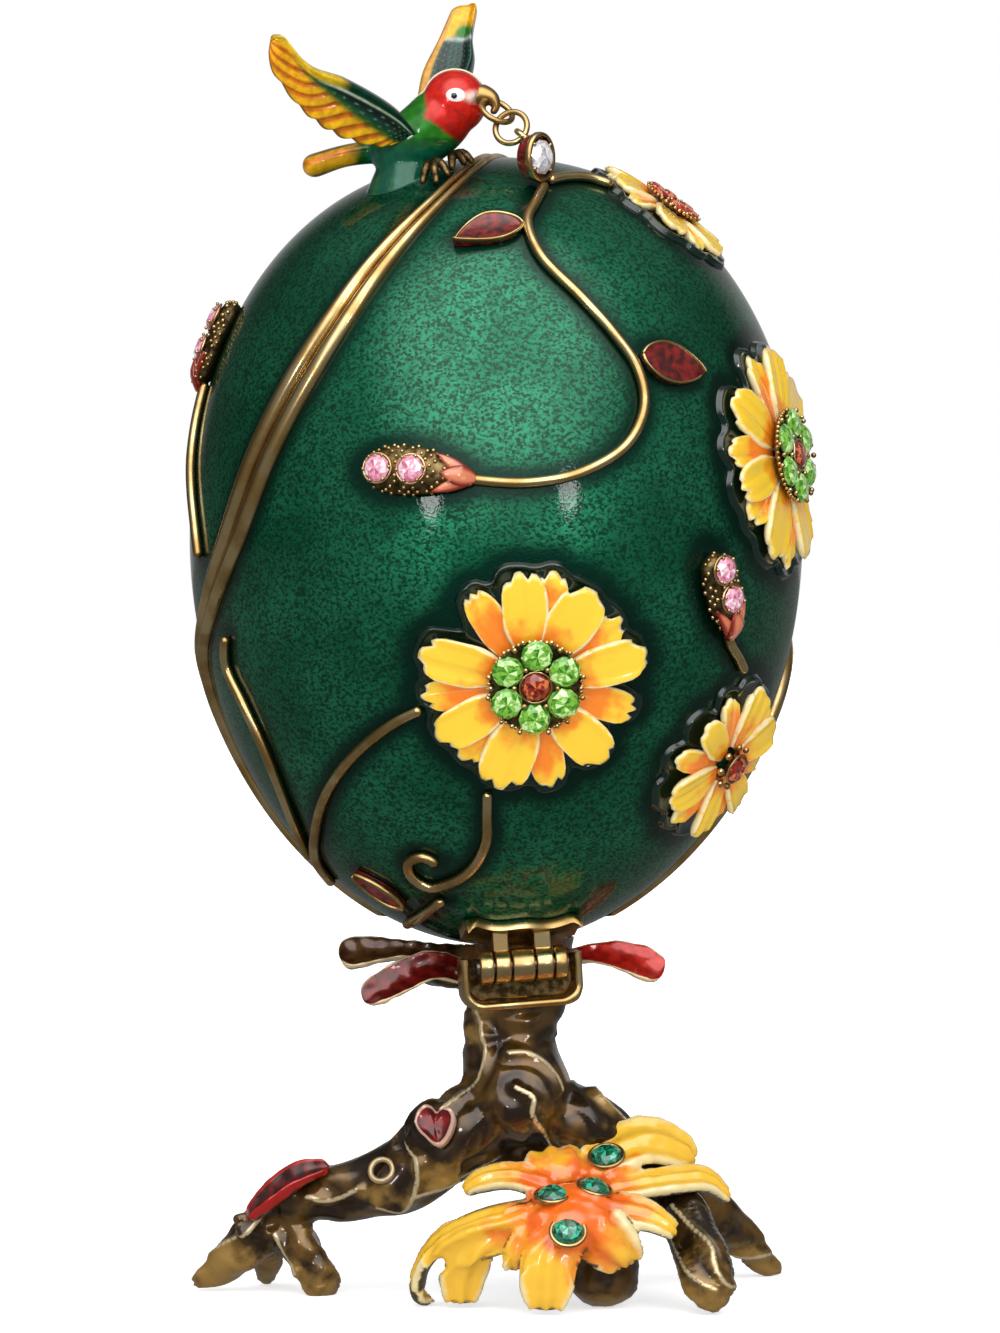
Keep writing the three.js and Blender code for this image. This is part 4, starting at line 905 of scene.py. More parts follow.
# Radii of the set stones, in millimetres
CHATON = 1.76
SMALL_CHATON = 1.15
HEART_CHATON = 1.66
BUD_CHATON = 1.5
EMERALD = 1.75
DROP_CRYSTAL = 1.95


def stone_template(name, sides):
    """A brilliant: table, crown and girdle, one millimetre in radius, each facet with its own painted glint.
    """
    fresh()
    bpy.ops.mesh.primitive_grid_add(x_subdivisions=sides, y_subdivisions=len(CUT) - 1, size=1)
    piece = bpy.context.object
    piece.name = piece.data.name = name
    places = []
    for z, r, shift in CUT:
        for j in range(sides + 1):
            a = ((j % sides) + shift) / sides * 2 * math.pi
            places += [math.cos(a) * r, math.sin(a) * r, z]
    piece.data.vertices.foreach_set("co", places)
    bpy.ops.object.mode_set(mode="EDIT")
    bpy.ops.mesh.select_all(action="SELECT")
    bpy.ops.mesh.remove_doubles(threshold=1e-4)
    bpy.ops.mesh.quads_convert_to_tris()
    bpy.ops.mesh.normals_make_consistent(inside=False)
    bpy.ops.object.mode_set(mode="OBJECT")
    # Painted glints: each facet gets a random brightness in place of real flashes
    layer = piece.data.attributes.new("painted_glint", "FLOAT", "FACE")
    layer.data.foreach_set("value", [random.random() ** 1.2 for _ in piece.data.polygons])
    piece.hide_render = True
    templates.append(piece)
    return piece


brilliant = stone_template("brilliant_template", FACETS)
fresh()
bpy.ops.mesh.primitive_ico_sphere_add(subdivisions=2, radius=1)
bead = template("bead_template")
bpy.ops.object.shade_smooth()
bead.hide_render = True
templates.append(bead)


def stones(name, seats, radius, material, body, nodes=()):
    """Stones on seats given as floor place and facing."""
    made = []
    for place, facing in seats:
        turn = random.uniform(0, 6.28)
        made.append(settled(place, facing, turn) @ Matrix.Scale(radius, 4))
    piece = set_out(name, brilliant, made)
    piece.hide_render = False
    return finish(piece, body, material, nodes)


def beads(name, places, radius, body, material=None, squash=1.0):
    """Little gilt beads or prongs, each at a place with a facing."""
    made = []
    for place, facing in places:
        size = radius * random.uniform(0.88, 1.1)
        made.append(settled(place, facing) @ Matrix.Diagonal((size, size, size * squash, 1)))
    piece = set_out(name, bead, made)
    piece.hide_render = False
    return finish(piece, body, material or gilt)


def collar(name, place, facing, radius, wire, body, height=0.0):
    """A gilt wire ring about a stone."""
    fresh()
    bpy.ops.mesh.primitive_torus_add(major_radius=radius, minor_radius=wire, major_segments=32,
                                     minor_segments=8)
    piece = bpy.context.object
    piece.name = piece.data.name = name
    piece.data.transform(settled(Vector(place) + Vector(facing) * height, facing))
    bpy.ops.object.shade_smooth()
    return finish(piece, body, gilt)


# Vines and buds
# Vines as bearings and height shares on the egg, with a half width where it isn't the usual one
VINE = 0.58
VINES = {
    "vine_leaf_spray": [(18.3, 0.9), (12.6, 0.854), (8.7, 0.801), (10.9, 0.711), (18.5, 0.609), (24.2, 0.519),
                        (28.2, 0.431), (28.6, 0.338), (24.3, 0.241), (15.3, 0.171), (6.1, 0.146),
                        (-2.0, 0.15), (-6.2, 0.159)],
    "vine_to_top_flower": [(20.8, 0.912), (31.5, 0.924), (43, 0.924), (51, 0.907)],
    "vine_daisy_left": [(-14.5, -0.393), (-20.5, -0.426), (-29.9, -0.496), (-41.7, -0.596), (-54.3, -0.7),
                        (-68, -0.778), (-77, -0.835)],
    "vine_daisy_low": [(-1.9, -0.589), (-2.1, -0.639), (-2.6, -0.713), (-7.8, -0.783), (-17.1, -0.82),
                       (-22.6, -0.826), (-26.8, -0.8), (-25.4, -0.763), (-20.5, -0.75), (-16.8, -0.767)],
    "vine_branch": [(-19.8, -0.859), (-28, -0.887), (-40, -0.913), (-54, -0.93)],
    "vine_by_seam": [(-61.5, -0.23), (-63.6, -0.302), (-60.6, -0.385), (-58.4, -0.48), (-58.8, -0.578),
                     (-62.4, -0.678), (-72, -0.77)],
    "bud_stem_right": [(55.5, -0.313), (52.3, -0.278), (49.0, -0.243), (47.6, -0.208)],
    "bud_stem_left": [(-70.5, -0.043), (-72.5, 0.028), (-77, 0.13), (-81, 0.208), (-84, 0.301),
                      (-85.5, 0.38), (-86, 0.41)],
}
# Buds: stations with half widths, the seats of two stones, and the body they ride on
BUDS = {
    "vine_leaf_spray": ([(-5.0, 0.157, 0.9), (-8.4, 0.164, 1.9), (-14.4, 0.174, 2.75), (-20.6, 0.178, 2.35),
                         (-23.6, 0.178, 1.2)],
                        [(-20.6, 0.178), (-14.6, 0.176)], "door"),
    "bud_stem_right": ([(47.7, -0.214, 0.8), (47.4, -0.204, 0.9), (46.5, -0.178, 1.9), (44.6, -0.122, 2.4),
                        (42.6, -0.061, 2.1), (41.7, -0.03, 1.1)],
                       [(42.9, -0.067), (45.3, -0.133)], "door"),
    "bud_stem_left": ([(-86.5, 0.40, 0.9), (-86.5, 0.414, 1.7), (-86.5, 0.495, 2.5), (-86.5, 0.569, 2.2),
                       (-86.5, 0.611, 1.0)],
                      [(-86.5, 0.56), (-86.5, 0.484)], "base"),
}


def vine_stations(places, sunk=0.25, tallest=1.35):
    """Stations of a limb laid on the egg and sunk into it, from bearings, height shares and half widths."""
    stations = []
    for place in places:
        half = place[2] if len(place) > 2 else VINE
        thick = min(half, tallest)
        p = on_egg(place[0], place[1], 0.2 + thick - sunk)
        stations.append((p.x, p.y, p.z, half, thick))
    return stations


for name, places in VINES.items():
    body = "base" if name == "bud_stem_left" else "door"
    rope = limb(name + "_wire", vine_stations(places), 12, 0.6, egg_normal)
    raised += [(spot[:3], 0.75) for spot in course(vine_stations(places, 0.6), 6)]
    finish(rope, body, gilt, [name])


def sepal_petal(name, patch, length, half, aside, height, body):
    """One sepal of a calyx: it starts narrow at the stem's end, opens over the bud and ends in a point."""
    rows, edges = [], []
    for i in range(15):
        s = i / 14
        w = half * math.sin(math.pi * (0.07 + 0.93 * s) ** 0.8) ** 0.85
        row, marks = [], []
        for side, columns in ((1, range(9)), (-1, range(8, -1, -1))):
            for j in columns:
                c = j / 4 - 1
                up = height * (0.42 + 0.58 * math.sin(math.pi / 2 * min(s / 0.65, 1))) - 0.5 * max(s - 0.8, 0)
                up += 0.16 + 0.22 * (1 - c * c) if side > 0 else -0.25
                row.append(patch.place(s * length, c * w + aside * s ** 1.25, max(up, 0.1)))
                marks.append(max(abs(c), s ** 3) if side > 0 else 1.0)
        row.append(row[0])
        marks.append(marks[0])
        rows.append(row)
        edges.append(marks)
    return finish(skin(name, rows, {"edge": edges}), body, sepal)


for name, (places, seats, body) in BUDS.items():
    berry = limb(name + "_bud", vine_stations(places, 0.7, 1.3), 24, 0.5, egg_normal)
    raised += [(spot[:3], spot[3] + 0.5) for spot in course(vine_stations(places, 1.2), 6)]
    finish(berry, body, dark_gilt)
    stone_seats = [(on_egg(a, s, 1.75), egg_normal(on_egg(a, s))) for a, s in seats]
    stones(name + "_stones_cut", stone_seats, BUD_CHATON, rose, body,
           [f"{name}_stone_1", f"{name}_stone_2"])
    for index, (place, facing) in enumerate(stone_seats):
        collar(f"{name}_collar_{index + 1}", place, facing, BUD_CHATON + 0.1, 0.16, body, 0.35)
        side = facing.orthogonal().normalized()
        claws = []
        for k in range(6):
            spoke = Matrix.Rotation(math.radians(k * 60 + 20), 3, facing) @ side
            claws.append((place + facing * 0.75 + spoke * BUD_CHATON, facing))
        beads(f"{name}_claws_{index + 1}", claws, 0.2, body)
    # Beads over the bud's skin, clear of the stones
    points, normals = points_of(berry)
    spots, order = [], list(range(len(points)))
    random.shuffle(order)
    for k in order:
        p, n = Vector(points[k]), Vector(normals[k])
        if n.dot(egg_normal(p)) < 0.05 or egg_level(p) < 0.02:
            continue
        if any((p - place).length < 1.9 for place, _ in stone_seats):
            continue
        if all((p - q).length > 0.62 for q, _ in spots):
            spots.append((p, n))
    beads(name + "_beads", spots, 0.24, body)
    a, b = Vector(on_egg(*places[0][:2])), Vector(on_egg(*places[2][:2]))
    forward = (b - a).normalized()
    patch = Patch(places[0][0], places[0][1])
    forward = (forward - patch.out * forward.dot(patch.out)).normalized()
    patch.side, patch.ahead = forward, patch.out.cross(forward)
    patch.origin = a - forward * 0.9
    sepal_petal(name + "_sepal_left", patch, 4.4, 0.85, 2.1, 1.75, body)
    sepal_petal(name + "_sepal_right", patch, 4.4, 0.85, -2.1, 1.75, body)
    sepal_petal(name + "_sepal_middle", patch, 3.7, 1.1, 0.0, 2.2, body)


# Leaves on the egg
def leaf(name, patch, length, width, body, nodes, twist=0.0, high=0.62, droop=0.0):
    """A ruby enamel leaf in a gilt border, its tip turned up on one side."""
    def half(s):
        return width / 2 * math.sin(math.pi * s ** 0.85) ** 0.75 if 0 < s < 1 else 0.0

    def spot(s, c, up):
        return patch.place((s - 0.5) * length, c * half(s) + droop * max(s - 0.4, 0) ** 2 * length, up)

    def lift(s, c):
        return high + 0.25 * c * c + twist * max(s - 0.5, 0) * c + 0.5 * max(s - 0.7, 0)

    rows = []
    for i in range(29):
        s = i / 28
        row = []
        for side, columns in ((1, range(15)), (-1, range(14, -1, -1))):
            for j in columns:
                c = j / 7 - 1
                row.append(spot(s, c, lift(s, c) if side > 0 else max(high - 0.6, 0.1)))
        row.append(row[0])
        rows.append(row)
    plate = skin(name + "_enamel", rows, angle=70)
    raised.extend((np.array(spot(k / 6, 0, 0)), half(k / 6) + 0.1) for k in range(1, 6))
    finish(plate, body, ruby, nodes)
    border = []
    for side in (1, -1):
        spots = []
        for i in range(17):
            s = i / 16
            p = spot(s, side * 0.97, lift(s, side) - 0.18)
            spots.append((p.x, p.y, p.z, 0.2 - 0.06 * s, 0.4 - 0.1 * s))
        border.append(limb(name + "_edge", spots, 10, 0.35, egg_normal))
    finish(joined(name + "_border", border), body, gilt)


leaf("leaf_top", Patch(-2.3, 0.785, 190), 7.8, 4.2, "door", ["leaf_top"], 0.8, droop=0.5)
leaf("leaf_right", Patch(36.6, 0.444, -16), 8.0, 4.6, "door", ["leaf_right"], 0.7)
leaf("leaf_low", Patch(-44.5, -0.841, 118), 6.8, 3.2, "door", ["leaf_low"], 0.3)
leaf("rear_leaf_upper", Patch(-100, 0.289, 100), 9.5, 4.4, "base", ["rear_leaf_upper"], 0.2, 1.0)
leaf("rear_leaf_lower", Patch(-103, -0.435, 75), 7.5, 3.8, "base", ["rear_leaf_lower"], 0.2, 0.9)


# Flowers
def petal(patch, turn, inner, outer, half, lift, rise, reach_shift):
    """One petal, pillowed between raised edges, with a blunt tip of two or three notches."""
    dice = random.Random(int(turn * 1000) + int(outer * 10))
    notches = [(dice.uniform(-0.6, -0.25), dice.uniform(0.03, 0.10)),
               (dice.uniform(0.2, 0.65), dice.uniform(0.02, 0.09))]
    groove = dice.choice((-0.3, 0.0, 0.25)) if dice.random() < 0.6 else 9.0
    bend = dice.uniform(-0.3, 0.3)
    lean = dice.uniform(-0.5, 0.5)
    across = [-1, -0.94, -0.82, -0.66, -0.46, -0.26, -0.1, 0, 0.1, 0.26, 0.46, 0.66, 0.82, 0.94, 1]
    rows, reaches, edges = [], [], []
    steps = 20
    for i in range(steps + 1):
        s = i / steps
        width = half * (0.42 + 0.58 * math.sin(math.pi / 2 * min(s / 0.7, 1)))
        row, row_reach, row_edge = [], [], []
        for side, columns in ((1, across), (-1, across[::-1])):
            for c in columns:
                tip = 1 - 0.27 * (1 - math.sqrt(max(1 - abs(c) ** 2.6, 0)))
                tip -= sum(deep * math.exp(-((c - spot) / 0.15) ** 2) for spot, deep in notches)
                radius = inner + (outer * tip - inner) * s
                shape = 0.34 * math.exp(-((abs(c) - 0.86) / 0.14) ** 2)
                shape -= 0.26 * math.exp(-((c - groove) / 0.14) ** 2)
                shape += 0.22 * (1 - c * c)
                body = lift + rise * math.sin(math.pi * 0.5 * s) ** 2 + bend * c * s
                up = body + (shape * min(s * 3, 1) if side > 0 else -0.55)
                if abs(c) == 1 or i == steps:
                    up = body - 0.15
                sway = c * width + lean * s * s
                u = math.sin(turn) * radius + math.cos(turn) * sway
                v = math.cos(turn) * radius - math.sin(turn) * sway
                row.append(patch.place(u, v, max(up, 0.12)))
                row_reach.append(s + reach_shift)
                row_edge.append(max(math.exp(-((abs(c) - 1) / 0.14) ** 2), max((s - 0.86) / 0.14, 0) ** 1.5))
        for values in (row, row_reach, row_edge):
            values.append(values[0])
        rows.append(row)
        reaches.append(row_reach)
        edges.append(row_edge)
    return skin("petal", rows, {"reach": reaches, "edge": edges})


# The raised glass round a flower, painted dark as shade: how far past its outline, and how high over the egg
POOL_PROFILE = [(-4.0, 0.1), (-0.6, 0.22), (0.0, 0.26), (0.3, 0.4), (0.5, 0.56), (0.68, 0.52), (0.84, 0.3),
                (0.96, 0.1), (1.05, 0.01)]


def flower(name, patch, upper, lower, radius, inner, body, scale=1.0, lie=1.0):
    """Two layers of petals at bearings from straight ahead, and raised glass round them in painted shade."""
    made, tips = [], []
    for k, bearing in enumerate(lower):
        reach = radius * (0.97, 1.0, 0.94)[k % 3]
        made.append(petal(patch, math.radians(bearing), inner, reach, 1.9 * scale, 0.7 * lie, 0.35 * lie,
                          -0.42))
        tips.append((math.radians(bearing), reach, 1.75 * scale))
    for k, bearing in enumerate(upper):
        reach = radius * (1.0, 0.95, 1.0, 0.97)[k % 4]
        half = (2.45, 2.75, 2.3)[k % 3] * scale
        made.append(petal(patch, math.radians(bearing), inner, reach, half, 1.1 * lie, 0.7 * lie, 0.02))
        tips.append((math.radians(bearing), reach, half))
    finish(joined(name + "_petals", made), body, petal_enamel, [name])
    outline = []
    for j in range(240):
        a = j / 240 * 2 * math.pi
        reach = radius * 0.72
        for bearing, tip, half in tips:
            # How far aside of the petal this bearing lies, as a share of its half width
            swing = abs((a - bearing + math.pi) % (2 * math.pi) - math.pi) * tip / (half + 0.9)
            if swing < 1:
                reach = max(reach, tip * (0.70 + 0.30 * math.sqrt(1 - swing ** 3)))
        outline.append(reach)
    eased = [sum(outline[(j + k) % 240] for k in range(-2, 3)) / 5 for j in range(240)]
    rows = []
    for past, lift in POOL_PROFILE:
        row = []
        for j in range(241):
            a = (j % 240) / 240 * 2 * math.pi
            ragged = noise.noise(Vector((math.cos(a) * 4, math.sin(a) * 4, radius)))
            reach = eased[j % 240] + past + 0.35 * ragged
            row.append(patch.place(math.sin(a) * reach, math.cos(a) * reach, lift))
        rows.append(row)
    # The glass round the petals is coloured nearly black: painted shade
    finish(skin(name + "_glass_ridge_painted_shade", rows), body, ridge_enamel_painted_shade)
    for j in range(0, 240, 6):
        a = j / 240 * 2 * math.pi
        raised.append((np.array(patch.place(math.sin(a) * eased[j], math.cos(a) * eased[j], 0)), 1.7))


# Bearings of the petals, in degrees from straight ahead
DAISY_UPPER = [-10, 28, 76, 140, 195, 238, 286]
DAISY_LOWER = [-37, 8, 52, 107, 168, 218, 262]
daisy_patch = Patch(7.1, -0.33)
side_patch = Patch(68, 0.213)
low_patch = Patch(59, -0.53)
top_patch = Patch(76, 0.856)
flower("daisy", daisy_patch, DAISY_UPPER, DAISY_LOWER, 12.3, 3.2, "door")
flower("side_flower", side_patch, [b + 14 for b in DAISY_UPPER], [b + 14 for b in DAISY_LOWER], 12.5, 3.2,
       "door", 1.0, 0.7)
flower("low_flower", low_patch, [5, 62, 125, 180, 240, 300], [33, 92, 152, 210, 270, 335], 9.3, 2.0, "door",
       0.78)
flower("top_flower", top_patch, [0, 66, 130, 190, 250, 310], [32, 98, 160, 220, 282, 340], 8.4, 2.0, "door",
       0.78, 0.55)


def stone_ring(name, patch, count, ring, radius, lift, material, body):
    """Stones in a ring, in a gilt plate with beads round it and claws between the stones."""
    base = patch.origin + patch.out * lift
    seats, claws = [], []
    for i in range(count):
        a = i / count * 2 * math.pi + math.pi / 2
        spoke = patch.side * math.cos(a) + patch.ahead * math.sin(a)
        seats.append((base + patch.out * 0.3 + spoke * ring, patch.out))
        b = a + math.pi / count
        gap = patch.side * math.cos(b) + patch.ahead * math.sin(b)
        for share in (1.38, 0.66):
            claws.append((base + patch.out * (0.3 + radius * 0.5) + gap * ring * share, patch.out))
        for c in (a - 0.3, a + 0.3):
            spot = patch.side * math.cos(c) + patch.ahead * math.sin(c)
            place = base + patch.out * (0.3 + radius * 0.35) + spot * (ring + radius * 0.98)
            claws.append((place, patch.out))
    stones(name + "_cut", seats, radius, material, body, [name])
    beads(name + "_claws", claws, radius * 0.17, body)
    rows = []
    outer = ring + radius * 0.85
    profile = [(0.0, 0.1), (outer * 0.98, 0.1), (outer, 0.25), (outer, 0.5), (outer - 0.15, 0.6),
               (outer * 0.8, 0.42), (0.0, 0.42)]
    for r, up in profile:
        rows.append([base + patch.out * up + (patch.side * math.cos(a) + patch.ahead * math.sin(a)) * r
                     for a in np.linspace(0, 2 * math.pi, 49)])
    finish(skin(name + "_plate", rows, angle=50), body, dark_gilt)
    rim_beads = []
    count = int(2 * math.pi * outer / 0.62)
    for i in range(count):
        a = i / count * 2 * math.pi
        spoke = patch.side * math.cos(a) + patch.ahead * math.sin(a)
        rim_beads.append((base + patch.out * 0.5 + spoke * outer, patch.out))
    beads(name + "_rim_beads", rim_beads, 0.24, body)


def heart_stone(name, patch, radius, body, nodes=()):
    """One stone in a bezel at a flower's heart."""
    place = patch.origin + patch.out * 1.55
    stones(name + "_cut", [(place, patch.out)], radius, topaz, body, nodes)
    collar(name + "_bezel", place, patch.out, radius + 0.08, 0.13, body, radius * 0.42)


stone_ring("daisy_stone_ring", daisy_patch, 6, 3.57, CHATON, 1.35, peridot, "door")
stone_ring("side_flower_stone_ring", side_patch, 6, 3.57, CHATON, 1.0, peridot, "door")
stone_ring("top_flower_stone_ring", top_patch, 6, 2.4, SMALL_CHATON, 0.7, red_topaz, "door")
heart_stone("daisy_centre_stone", daisy_patch, HEART_CHATON, "door", ["daisy_centre_stone"])
heart_stone("side_flower_centre_stone", side_patch, HEART_CHATON, "door", ["side_flower_centre_stone"])
heart_stone("low_flower_centre_stone", low_patch, HEART_CHATON, "door", ["low_flower_centre_stone"])
around = []
for k in range(8):
    a = k / 8 * 2 * math.pi + 0.2
    spot = low_patch.side * math.cos(a) + low_patch.ahead * math.sin(a)
    around.append((low_patch.origin + low_patch.out * 1.75 + spot * 2.45, low_patch.out))
beads("low_flower_seeds", around, 0.42, "door", None, 0.9)

# Stand
# Limbs of the casting: stations x, y, z, half width and, where it differs, half thickness
TRUNK = [
    (2.0, -1.6, 1.2 * EGG_FOOT, 7.0, 6.6), (2.0, -1.6, 0.95 * EGG_FOOT, 6.9, 6.6),
    (2.0, -1.6, 0.85 * EGG_FOOT, 5.5, 5.9), (1.8, -2, 0.72 * EGG_FOOT, 5.1, 5.3),
    (2.5, -3, 0.6 * EGG_FOOT, 6.8, 6.2), (3.3, -4, 0.44 * EGG_FOOT, 8.6, 6.6),
]
ROOTS = [
    TRUNK,
    [(0.5, -4, 21.7, 6.2), (-5.2, -4, 18.0, 4.7), (-10.9, -2, 13.6, 4.1), (-17.7, 0, 11.9, 3.4),
     (-22.3, 1, 11.0, 3.1), (-26.0, 2, 8.2, 2.4)],
    [(-24.8, 2, 9.6, 2.7), (-28.6, 3, 5.2, 2.6), (-32.0, 4, 2.5, 1.8, 1.7), (-34.2, 4, 1.2, 1.0, 0.9),
     (-34.9, 4, 0.8, 0.5, 0.5)],
    [(-24.6, 2, 8.4, 2.5), (-21.9, 1, 4.6, 2.3), (-19.8, 0.6, 1.6, 2.3), (-19.2, 0.6, -0.6, 1.6)],
    [(-26.1, 4, 6.4, 1.6), (-26.4, 8, 3.0, 1.5), (-26.6, 10.4, 0.6, 0.9)],
    [(-26.4, 1, 8.6, 1.5), (-29.4, 0, 7.9, 1.5), (-30.2, 0, 7.6, 0.8)],
    [(5.0, -4, 21.7, 5.6), (11.8, -2, 18.1, 4.1), (17.4, -3, 13.6, 3.2), (21.4, -9, 9.0, 2.9),
     (23.9, -16, 3.2, 2.8), (24.4, -17.5, 0.4, 1.7)],
    [(10.5, 0, 18.4, 4.0), (20.0, 8, 12.2, 3.1), (27.1, 14, 6.1, 2.5), (31.4, 18, 1.4, 1.6),
     (33.0, 19, 0.3, 0.7)],
    [(-4.0, -5, 20.6, 2.2), (-7.4, -6, 19.8, 2.9), (-9.6, -5, 17.2, 2.0)],
    [(-2, -3, 37.2, 3.0, 2.4), (-6.5, -4, 37.4, 2.4, 2.0), (-9.2, -4.4, 38.0, 1.4, 1.2)],
    [(-2.5, -1.5, 17.6, 3.0), (2.0, -1, 16.9, 2.9), (7.5, -1, 17.0, 2.8), (11.5, -1, 17.6, 2.2)],
]
# Ridges of the bark, as seen from the front, in millimetres right of and above the egg's axis
RIDGES = [
    [(1.5, 28.3), (3.5, 28.3), (5.3, 27.5), (6.6, 26.0), (7.3, 24.2)],
    [(2.2, 24.7), (4.1, 23.5), (4.0, 21.8), (5.4, 19.4), (6.3, 17.6), (8.6, 16.7)],
    [(-10.2, 18.2), (-9.1, 16.5), (-8.8, 14.3), (-9.5, 11.9), (-10.8, 10.2), (-13.4, 10.8)],
    [(-9.1, 12.2), (-4.8, 14.0), (0.4, 16.5)],
    [(-25.2, 7.1), (-24.3, 5.1), (-22.8, 2.5)],
    [(-34.2, 2.8), (-30.6, 5.9), (-27.8, 7.8), (-26.3, 9.9)],
    [(19.7, 11.4), (21.7, 9.4), (23.8, 7.3), (24.4, 5.2), (26.0, 3.4), (28.6, 2.7), (31.9, 2.8)],
    [(19.2, 8.8), (20.6, 5.9), (22.1, 4.1), (24.5, 3.0)],
    [(-1.8, 33.0), (-1.2, 28.0), (-2.6, 24.6), (-6.2, 21.9)],
    [(8.2, 32.0), (7.9, 28.6), (9.6, 25.4), (12.8, 22.0), (16.8, 18.6)],
    [(-15.6, 12.6), (-18.8, 11.2), (-21.4, 11.6)],
]
stand = cast("tree_stand_casting", [limb("root", stations, 28, 0.8) for stations in ROOTS], 0.42, 8)
points, normals = points_of(stand)
tree_of_faces = BVHTree.FromPolygons([tuple(p) for p in points],
                                     [tuple(f.vertices) for f in stand.data.polygons])
ridge_spots = []
for ridge_line in RIDGES:
    for x, z in course([(x, 0, z, 0, 0) for x, z in ridge_line], 14)[:, [0, 2]]:
        hit = tree_of_faces.ray_cast(Vector((x, -60, z)), Vector((0, 1, 0)))[0]
        if hit:
            ridge_spots.append(tuple(hit))
ridge_spots = np.array(ridge_spots)
ridge = np.zeros(len(points))
swell = np.zeros(len(points))
line_marks = np.zeros(len(points))
lines = [course(stations, 12) for stations in ROOTS]
for k in range(len(points)):
    p = points[k]
    best, along_at, spoke_at, offset = 1e9, 0.0, None, 0.0
    for index, line in enumerate(lines):
        gaps = np.linalg.norm(line[:, :3] - p, axis=1)
        i = int(np.argmin(gaps - line[:, 3]))
        depth = gaps[i] - line[i, 3]
        if depth < best:
            best, along_at, spoke_at, offset = depth, i * 0.35, p - line[i, :3], index * 1.7
            upright = index == 0
    around = math.atan2(spoke_at[1], spoke_at[0]) if upright else math.atan2(spoke_at[2], spoke_at[1])
    wander = noise.noise(Vector((along_at * 0.35, offset, 0)))
    wave = math.sin(around * 3 + along_at * 0.3 + wander * 4 + offset)
    knot = noise.noise(Vector(p) * 0.2 + Vector((offset, 0, 0)))
    away = float(np.min(np.linalg.norm(ridge_spots - p, axis=1)))
    line_marks[k] = math.exp(-(away / 0.33) ** 2)
    ridge[k] = max(wave, 0) ** 2 * 0.25 + max(knot, 0) * 0.8 + 0.25 * math.exp(-(away / 1.2) ** 2)
    raised_line = 0.36 * math.exp(-(away / 0.45) ** 2)
    sunk_beside = 0.32 * math.exp(-((away - 1.4) / 0.7) ** 2)
    swell[k] = 0.22 * wave + 0.5 * knot + raised_line - sunk_beside
low_gold = np.clip(1 - points[:, 2] / 7.5, 0, 1) * 0.85
mark(stand, "ridge", np.clip(ridge + low_gold, 0, 1))
mark(stand, "line", line_marks)
points = points + normals * swell[:, None]
for k in range(len(points)):
    p = Vector(points[k])
    if p.z < 0.02:
        p.z = 0.02
    if egg_level(p) < 0.02 and p.z < WIDEST:
        low, high = 20.0, p.z
        for _ in range(20):
            middle = (low + high) / 2
            if egg_level(Vector((p.x, p.y, middle))) < 0.025:
                high = middle
            else:
                low = middle
        p.z = low - 0.1
    local = p - HINGE_CENTRE
    u, v, w = local.dot(hinge_along), local.dot(hinge_up), local.dot(hinge_out)
    if abs(u) < 7.2 and -5.3 < v < 9 and w > -3.6:
        p += hinge_out * (-3.6 - w)
    points[k] = p
put_points(stand, points)
finish(stand, "base", bark, ["tree_stand"])


def ring_knot(name, place, facing, radius, wire):
    """The healed ring round a lost branch."""
    fresh()
    bpy.ops.mesh.primitive_torus_add(major_radius=radius, minor_radius=wire, major_segments=36,
                                     minor_segments=10)
    piece = bpy.context.object
    piece.name = piece.data.name = name
    piece.data.transform(settled(place, facing))
    mark(piece, "ridge", [0.75] * len(piece.data.vertices))
    mark(piece, "line", [0.6] * len(piece.data.vertices))
    bpy.ops.object.shade_smooth()
    finish(piece, "base", bark)


ring_knot("ring_knot", (-12.9, -5.4, 14.9), (-0.25, -0.9, 0.45), 1.3, 0.34)

# Leaves round the trunk's top, with heights from the egg's foot: stations, the way across, material, slot
CROWN = {
    "crown_leaf_brown": (
        [(-3.0, -2.5, -1.4, 1.6, 1.0), (-7.4, -4, -0.7, 1.3, 0.9), (-10.6, -5, -0.3, 1.3, 0.9),
         (-13.6, -5.6, -0.4, 1.9, 1.1), (-16.2, -6, -0.7, 2.3, 1.2), (-17.6, -6.2, -1.0, 1.8, 1.0)],
        (0, -1, -0.9), brown, "tree_enamel"),
    "crown_leaf_dark_red": (
        [(-3.2, -5.5, -3.0, 1.6, 1.1), (-7.0, -7.6, -1.9, 1.8, 1.0), (-10.4, -9, -3.0, 2.0, 1.0),
         (-13.0, -9.8, -4.4, 1.9, 1.0), (-14.8, -10, -5.6, 1.3, 0.9)],
        (0, -0.7, -1), dark_red, "red_enamel"),
    "crown_leaf_red": (
        [(7.4, -3, -1.4, 0.9, 0.8), (10.6, -4.4, -0.8, 1.2, 0.8), (13.8, -5.4, -0.9, 1.9, 0.9),
         (16.8, -6, -1.9, 2.3, 1.0), (18.7, -6.2, -3.0, 1.8, 0.9)],
        (0, 0.7, 0.8), red, "red_enamel"),
}


def curled(a, share):
    """Section of a leaf whose borders curl up: hollow above, round below."""
    u, v = math.cos(a), math.sin(a)
    return u, v - 1.15 * (1 - u * u) * (1 if v > 0 else 0.1) + 0.35 * u * u


def creased(piece, depth):
    """Uneven thickness, as on a leaf worked by hand."""
    points, normals = points_of(piece)
    move = np.array([depth * noise.noise(Vector(p) * 0.8) for p in points])
    put_points(piece, points + normals * move[:, None])
    return piece


for name, (stations, across, material, slot) in CROWN.items():
    raised_up = [(x, y, z + EGG_FOOT, w, t) for x, y, z, w, t in stations]
    blade = creased(limb(name + "_curled", raised_up, 28, 0.4, across, curled), 0.2)
    finish(blade, "base", material, [name])
